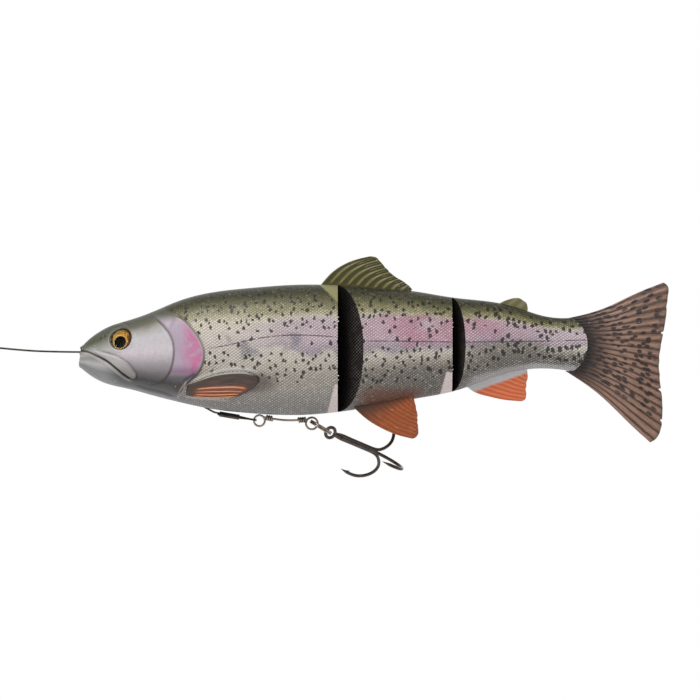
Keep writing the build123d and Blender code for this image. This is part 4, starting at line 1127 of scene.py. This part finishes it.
def build_fins():
    olive = fin_material("olive_fin", srgb(66, 62, 20), srgb(132, 128, 70), (0.62, 1.1), srgb(74, 70, 36),
                         srgb(104, 98, 74), 0.12, 10.0)
    orange = fin_material("orange_fin", srgb(138, 66, 28), srgb(172, 88, 40), (0.1, 1.3), srgb(66, 44, 30),
                          srgb(104, 74, 54), 0.50, 11.0, streak=srgb(220, 172, 126))
    belly_fin = fin_material("anal_fin_orange", srgb(196, 92, 52), srgb(224, 126, 84), (0.3, 1.1),
                             srgb(186, 184, 184), srgb(176, 110, 84), 0.25, 9.0,
                             band=(0.345, -74.0, srgb(196, 194, 196)))
    adipose = fin_material("adipose_olive", srgb(104, 100, 66), srgb(128, 124, 90), (0.3, 1.0), srgb(40, 38, 24),
                           srgb(84, 80, 50), 0.16, 3.0)
    tail = fin_material("tail_fin_brown", srgb(66, 48, 40), srgb(160, 126, 108), (0.15, 0.75), srgb(46, 36, 32),
                        srgb(84, 66, 56), 0.42, 20.0, speck=(28.0, 10.0, srgb(42, 34, 38)))
    back = fin("dorsal_fin_moulded", olive, coons(**DORSAL, across=131, along=60), 1.5, 0.5, 10, 0.36, seed=3)
    place(back, "middle", "olive_fin", "dorsal_fin")
    little = fin("adipose_fin_moulded", adipose, coons(**ADIPOSE, across=40, along=24), 1.3, 0.6, 3, 0.08, seed=4)
    place(little, "rear", "olive_fin", "adipose_fin")
    under = fin("anal_fin_moulded", belly_fin, coons(**ANAL, across=111, along=50), 2.2, 0.6, 9, 0.12, seed=5)
    place(under, "rear", "orange_fin", "anal_fin")
    for side, name in ((1, "left"), (-1, "right")):
        made = fin(f"{name}_pelvic_fin_moulded", orange, coons(**PELVIC, across=121, along=56), 1.5, 0.5, 11, 0.10,
                   move=splay(side), seed=6)
        place(made, "middle", "orange_fin", f"{name}_pelvic_fin")
    blade = fin("tail_fin_moulded", tail, coons(**TAIL, across=265, along=110), 1.5, 0.8, 20, 0.5,
                notches=[(0.315, 1.1, 0.006), (0.66, 1.2, 0.007), (0.845, 1.0, 0.006)], seed=7)
    place(blade, "tail", "tail_skin", "tail_fin")

    # The tail's tongue, bevelled above and below
    turn = np.linspace(pi / 2, 3 * pi / 2, 14)
    ring = np.array([(TAIL_PIN_X + TONGUE_R * cos(a), -TONGUE_R * sin(a)) for a in turn]
                    + [(TONGUE_END, TONGUE_END_HALF), (TONGUE_END, -TONGUE_END_HALF)])
    count, middle, (low, high) = len(ring), np.array([210.0, 0.0]), TONGUE_Z
    layers = [(0.96, low), (1, low + TONGUE_BEVEL), (1, high - TONGUE_BEVEL), (0.96, high)]
    points = np.concatenate([np.column_stack([(ring - middle) * size + middle, np.full(count, h)])
                             for size, h in layers])
    faces = grid_faces(4, count).tolist() + [list(range(count)), list(range(3 * count, 4 * count))]
    paint = {"across": np.full(len(points), 0.5), "along": np.zeros(len(points))}
    place(object_from("tail_tongue", points, faces, [tail], attributes=paint, sharp=35), "tail", "tail_skin")


PECTORAL = dict(
    root=[(45.9, -13.4), (45.0, -16.0), (44.9, -18.6)],
    edge=[(75.8, -10.4), (76.0, -12.0), (73.8, -15.0), (70.4, -17.3), (66.4, -18.9)],
    first=[(45.9, -13.6), (50.4, -11.9), (57.6, -9.4), (64.4, -8.4), (71.0, -8.6), (75.8, -10.4)],
    last=[(44.9, -18.6), (52.0, -19.9), (60.0, -19.8), (66.4, -18.9)],
)


def pectoral_material():
    g = Graph("pectoral_fin_paint")
    across, along = g.attribute("across"), g.attribute("along")
    wander = g.noise(g.scaled(500.0))
    crest = g.attribute("crest")
    threads = g.noise(g.join(g.times(across, 40.0), g.times(along, 4.0)))
    dark = g.mix(g.step(threads, 0.35, 0.65), srgb(50, 36, 28), srgb(84, 58, 44))
    lower = g.times(g.step(across, 0.36, 0.48), g.step(along, 0.08, 0.24), g.step(along, 1.0, 0.86))
    body = g.mix(lower, dark, g.mix(g.step(threads, 0.35, 0.6), srgb(86, 46, 26), srgb(150, 76, 38)))
    colour = g.mix(g.times(g.step(crest, 0.25, 0.85), lower), body, srgb(224, 146, 98))
    rim = g.most(g.step(across, 0.07, 0.03), g.step(across, 0.93, 0.97))
    rim = g.times(rim, g.step(along, 0.97, 0.80))
    colour = g.mix(g.times(rim, 0.85), colour, srgb(196, 190, 180))
    colour = g.mix(g.times(g.step(along, 0.88, 1.0), 0.6), colour, srgb(52, 40, 34))
    return g.finish(colour, g.line(wander, 0.2, 0.3), threads, 0.3, 0.0002, Coat_Weight=0.3,
                    Coat_Roughness=0.2)


def build_pectorals():
    """Fins that lie flat on the flank: a raised rim, and rays in between."""
    material = pectoral_material()
    across, along = 121, 110
    grid = coons(**PECTORAL, across=across, along=along)
    s, t = np.meshgrid(np.linspace(0, 1, across), np.linspace(0, 1, along), indexing="ij")
    crest = sum(bump(s - at, width) for at, width in ((0.50, 0.030), (0.655, 0.022), (0.80, 0.030), (0.905, 0.022)))
    crest = crest * smoothstep(0.08, 0.25, t) * smoothstep(0.98, 0.85, t)
    border = np.minimum(np.minimum(s, 1 - s) * 4, np.minimum(t * 5, (1 - t) * 6))
    lift = 0.95 * smoothstep(0.0, 0.22, border) + 0.30 * bump(border - 0.3, 0.22) - 0.1
    lift = lift + 0.38 * crest * smoothstep(0.1, 0.5, border)
    x, z = grid[..., 0], grid[..., 1]
    for side, name in ((-1, "left"), (1, "right")):
        sheets = [np.stack([x, side * (skin_y(x, z) + rise), z], axis=-1) for rise in (lift, -0.5)]
        points, faces = shell(sheets, across, along)
        both = {"across": np.tile(s.ravel(), 2), "along": np.tile(t.ravel(), 2), "crest": np.tile(crest.ravel(), 2)}
        piece = object_from(f"{name}_pectoral_fin_moulded", points, faces, [material], attributes=both, sharp=60)
        place(piece, "head", "orange_fin", f"{name}_pectoral_fin")


# ---------------------------------------------------------------- eyes
def build_eyes():
    iris_paint, clear = iris_material(), dome_material()
    rings, sides = 40, 96
    for side, name in ((-1, "left"), (1, "right")):
        centre, look = eye_axis(side)
        front = np.array([-1.0, 0.0, 0.0])
        front = front - look * front.dot(look)
        front /= np.linalg.norm(front)
        up = np.cross(look, front) * (1 if np.cross(look, front)[2] > 0 else -1)
        r = np.linspace(0, 1, rings)[1:]
        turn = np.linspace(0, 2 * pi, sides, endpoint=False)
        a, b = r[:, None] * np.cos(turn), r[:, None] * np.sin(turn)
        lift = 0.5 - 0.35 * (1 - r[:, None] ** 2) + 0 * a
        flat = centre + EYE_R * 0.985 * (a[..., None] * -front + b[..., None] * up) + lift[..., None] * look
        back = centre + EYE_R * 0.985 * (a[-1, :, None] * -front + b[-1, :, None] * up) - 0.5 * look
        points = np.concatenate([flat.reshape(-1, 3), back, [centre + 0.15 * look, centre - 0.5 * look]])
        faces = grid_faces(rings, sides).tolist()
        low, high, last = len(points) - 2, len(points) - 1, (rings - 1) * sides
        for k in range(sides):
            n = (k + 1) % sides
            faces += [[low, n, k], [high, last + k, last + n]]
        marks = {"across": np.concatenate([a.ravel(), a[-1], [0, 0]]),
                 "along": np.concatenate([b.ravel(), b[-1], [0, 0]])}
        piece = object_from(f"{name}_iris_print", points, faces, [iris_paint], attributes=marks, sharp=50)
        place(piece, "head", "iris", f"{name}_eye_iris")

        low_h, top_h = 0.56, 2.9
        ball = (EYE_R**2 + (top_h - low_h) ** 2) / (2 * (top_h - low_h))
        shell = [(0.0, low_h), (EYE_R * 0.6, low_h), (EYE_R - 0.12, low_h), (EYE_R, low_h + 0.1)]
        for out in np.linspace(1.0, 0.0, 26):
            rise = top_h - ball + sqrt(ball**2 - (EYE_R * out) ** 2)
            shell.append((EYE_R * out, max(rise, low_h + 0.3)))
        dome, dome_faces = lathe(shell, 64)
        basis = np.stack([-front, up, look])
        piece = object_from(f"{name}_eye_lens", dome @ basis + centre, dome_faces, [clear], sharp=70)
        place(piece, "head", "eye_dome", f"{name}_eye_dome")


# ---------------------------------------------------------------- leader, crimps and swivel
def build_leader(wire):
    curve = bpy.data.curves.new("leader_wire", "CURVE")
    curve.dimensions = "3D"
    curve.resolution_u = 24
    spline = curve.splines.new("NURBS")
    spline.points.add(len(LEADER_ROUTE) - 1)
    for point, at in zip(spline.points, LEADER_ROUTE):
        point.co = (*at, 1)
    spline.order_u = 3
    spline.use_endpoint_u = True
    curve.bevel_depth = LEADER_R * MM
    curve.bevel_resolution = 6
    curve.use_fill_caps = True
    curve.materials.append(wire)
    leader = bpy.data.objects.new("leader_wire", curve)
    bpy.context.scene.collection.objects.link(leader)
    place(leader, "head", "leader_wire", "leader_front")


# ---------------------------------------------------------------- link, split ring and treble
def helix(path, start, turns, radius, pitch):
    """A coil round a straight stretch of a path in the side view."""
    run = np.concatenate([[0], np.cumsum(np.linalg.norm(np.diff(path, axis=0), axis=1))])
    share = np.linspace(0, 1, int(28 * turns))
    at = start + share * turns * pitch
    centre = np.stack([np.interp(at, run, path[:, k]) for k in range(3)], axis=1)
    way = np.gradient(path, axis=0)
    way = np.stack([np.interp(at, run, way[:, k]) for k in range(3)], axis=1)
    way /= np.linalg.norm(way, axis=1)[:, None]
    side = np.array([0.0, 1.0, 0.0])
    up = np.cross(side, way)
    angle = 2 * pi * turns * share[:, None]
    return centre + radius * (np.cos(angle) * up + np.sin(angle) * side)


def hoop(centre, radius, first, second, count=72):
    """Points round a circle that two unit vectors span."""
    turn = np.linspace(0, 2 * pi, count, endpoint=False)[:, None]
    return np.asarray(centre) + radius * (np.cos(turn) * first + np.sin(turn) * second)


def build_link(metal_look):
    x_way, _, z_way = np.eye(3)
    parts = []
    for (x, z), radius in ((LINK_FRONT_EYE, LINK_FRONT_EYE_R), (LINK_REAR_EYE, LINK_REAR_EYE_R)):
        parts.append(tube(hoop((x, 0, z), radius, x_way, z_way), LINK_WIRE_R, closed=True))
    start = np.array([LINK_FRONT_EYE[0] + 0.75 * LINK_FRONT_EYE_R, 0, LINK_FRONT_EYE[1] + 0.66 * LINK_FRONT_EYE_R])
    end = np.array([LINK_REAR_EYE[0] - 0.75 * LINK_REAR_EYE_R, 0, LINK_REAR_EYE[1] + 0.66 * LINK_REAR_EYE_R])
    bar = smooth_curve([start, (start + end) / 2 - 0.8 * z_way, end], 60)
    parts.append(tube(bar, LINK_WIRE_R))
    for path in (bar, bar[::-1]):
        parts.append(tube(helix(path, 1.0, 3.2, 0.84, 0.93), LINK_WIRE_R, sides=12))
    points, faces = joined(parts)
    place(object_from("link_wrapped_wire", points, faces, [metal_look]), "link", "rig_wire", "wire_link")


def ring_ways():
    """The split ring's centre, the way it slopes, and its normal."""
    along = np.array([cos(RING_SLOPE), 0, -sin(RING_SLOPE)])
    normal = np.array([sin(RING_SLOPE), 0, cos(RING_SLOPE)])
    return np.array([RING_FRONT[0], 0, RING_FRONT[1]]) + along * RING_R, along, normal


def build_ring(metal_look):
    """Two turns of one wire, which step from one coil to the other."""
    centre, along, normal = ring_ways()
    turn = np.linspace(0, 4 * pi, 190)
    offset = RING_COIL_OFFSET * (2 * smoothstep(2 * pi - 0.35, 2 * pi + 0.35, turn) - 1)
    turn, offset = turn[:, None] + 1.9, offset[:, None]
    path = centre + RING_R * (np.cos(turn) * along + np.sin(turn) * np.array([0, 1, 0])) + offset * normal
    points, faces = tube(path, RING_WIRE_R, sides=14)
    place(object_from("ring_double_coil", points, faces, [metal_look]), "ring", "rig_wire", "split_ring")


def build_treble(metal_look):
    """Smoothly bent, tapered and barbed hooks, on the treble's own axes."""
    centre, along, normal = ring_ways()
    outward = along * cos(TREBLE_TURN) + np.array([0, 1, 0]) * sin(TREBLE_TURN)
    shank = outward * cos(TREBLE_RISE) + normal * sin(TREBLE_RISE)
    axis = np.cross(normal, outward)
    down = np.cross(axis, shank)
    front = centre + outward * RING_R - shank * (RING_WIRE_R + 2 * HOOK_WIRE_R + HOOK_EYE_GAP)

    def hook(angle, root):
        out = cos(angle) * down + sin(angle) * axis
        line = smooth_curve(root + HOOK_LINE, 150)
        path = front + line[:, :1] * shank + (HOOK_AXIS_GAP + line[:, 1:]) * out
        to_tip = np.linalg.norm(np.diff(path, axis=0), axis=1)[::-1].cumsum()[::-1]
        to_tip = np.append(to_tip, 0)
        radii = HOOK_WIRE_R * np.clip(to_tip / HOOK_TAPER, 0.04, 1) ** 0.85
        base = path[np.argmin(np.abs(to_tip - 2.6))]
        spike = path[np.argmin(np.abs(to_tip - 4.8))] - out * (HOOK_WIRE_R + 0.75)
        barb = base + (spike - base) * np.linspace(0, 1, 6)[:, None]
        return [tube(path, radii, sides=18), tube(barb, np.linspace(0.46, 0.04, 6), sides=10)]

    eye = hoop(front + (HOOK_WIRE_R + HOOK_EYE_R) * shank, HOOK_EYE_R, shank, down)
    double = [tube(eye, HOOK_WIRE_R, closed=True, sides=18)]
    for angle in HOOK_ANGLES:
        double += hook(angle, [(5.0, -0.75), (6.6, -0.35)])
    # Solder between the two wires of the double hook
    at = np.linspace(5.0, 29.0, 40)
    double.append(tube(front + at[:, None] * shank, np.interp(at, *zip(*SOLDER))))
    for kind, parts in (("double", double), ("single", hook(SINGLE_ANGLE, []))):
        points, faces = joined(parts)
        piece = object_from(f"treble_{kind}_bent", points, faces, [metal_look])
        place(piece, "treble", "hook_steel", f"treble_{kind}_hook")


# ---------------------------------------------------------------- plain CAD nodes
def recolour(materials):
    """CAD nodes whose shape stays get a finished material."""
    for material, nodes in materials:
        for node in nodes:
            piece = frame["nodes"][node]
            piece.data.materials.clear()
            piece.data.materials.append(material)


# ---------------------------------------------------------------- stage
def lamp(name, size, power, at, look_at):
    light = bpy.data.lights.new(name, "AREA")
    light.shape, light.size, light.energy = "DISK", size, power
    lamp_object = bpy.data.objects.new(name, light)
    lamp_object.location = at
    lamp_object.rotation_euler = (Vector(look_at) - Vector(at)).to_track_quat("-Z", "Y").to_euler()
    bpy.context.scene.collection.objects.link(lamp_object)


def build_stage():
    camera = bpy.data.cameras.new("camera")
    camera.lens, camera.sensor_width = CAMERA_LENS, CAMERA_SENSOR
    camera.clip_start, camera.clip_end = 0.01, 20
    view = bpy.data.objects.new("camera", camera)
    view.location = (VIEW_CENTRE[0], -VIEW_WIDTH * CAMERA_LENS / CAMERA_SENSOR, VIEW_CENTRE[1])
    view.rotation_euler = (pi / 2, 0, 0)
    bpy.context.scene.collection.objects.link(view)
    bpy.context.scene.camera = view

    world = bpy.data.worlds.new("studio")
    world.use_nodes = True
    # The wall behind the lure is lit and the room in front of it is dimmer.
    nodes, links = world.node_tree.nodes, world.node_tree.links
    ways = nodes.new("ShaderNodeSeparateXYZ")
    links.new(nodes.new("ShaderNodeTexCoord").outputs["Generated"], ways.inputs[0])
    fade = nodes.new("ShaderNodeMapRange")
    fade.interpolation_type = "SMOOTHSTEP"
    links.new(ways.outputs["Y"], fade.inputs["Value"])
    for key, value in (("From Min", -0.2), ("From Max", 0.7), ("To Min", ROOM_LIGHT), ("To Max", 1.0)):
        fade.inputs[key].default_value = value
    links.new(fade.outputs[0], nodes["Background"].inputs["Strength"])
    nodes["Background"].inputs["Color"].default_value = (1, 1, 1, 1)
    bpy.context.scene.world = world
    bpy.context.scene.view_settings.view_transform = "Standard"

    pale = Graph("stage_white")
    pale.finish((0.9, 0.9, 0.9, 1), 0.9)
    mesh = bpy.data.meshes.new("floor")
    mesh.from_pydata([(x, y, FLOOR_LEVEL) for x, y in FLOOR_CORNERS], [], [(0, 1, 2, 3)])
    mesh.materials.append(pale.material)
    floor = bpy.data.objects.new("floor", mesh)
    bpy.context.scene.collection.objects.link(floor)

    middle = (0.11, 0.0, 0.0)
    lamp("key", 0.6, 9.0, (-0.25, -0.75, 0.95), middle)
    lamp("fill", 0.5, 1.6, (0.7, -1.1, 0.2), middle)


SKIN, BLACK = skin_material(), black_material()
build_stage()
wire = metal("leader_coat", srgb(72, 66, 62), 0.35)
build_leader(wire)
build_body()
build_fins()
build_pectorals()
build_eyes()
dark = metal("black_nickel", srgb(92, 84, 80), 0.2)
silver = metal("link_steel", srgb(172, 160, 148), 0.3)
build_link(silver)
build_ring(silver)
build_treble(dark)
steel = metal("joint_steel_dull", srgb(70, 68, 66), 0.4)
recolour([
    (wire, ["leader_inner", "leader_loop"]),
    (dark, ["belly_crimp", "leader_crimp", "swivel_rear_eye", "swivel_barrel", "swivel_front_eye"]),
    (steel, ["front_joint_upper_eye", "front_joint_lower_eye", "rear_joint_upper_eye", "rear_joint_lower_eye",
             "front_joint_pin", "rear_joint_pin", "tail_pin"]),
    (plastic("tube_black", srgb(34, 33, 32)), ["line_tube"]),
    (plastic("foam_white", srgb(222, 220, 210), 0.8), ["head_float", "middle_float", "rear_float"]),
    (metal("ballast_lead", srgb(120, 122, 126), 0.55), ["head_weight", "middle_weight"]),
])
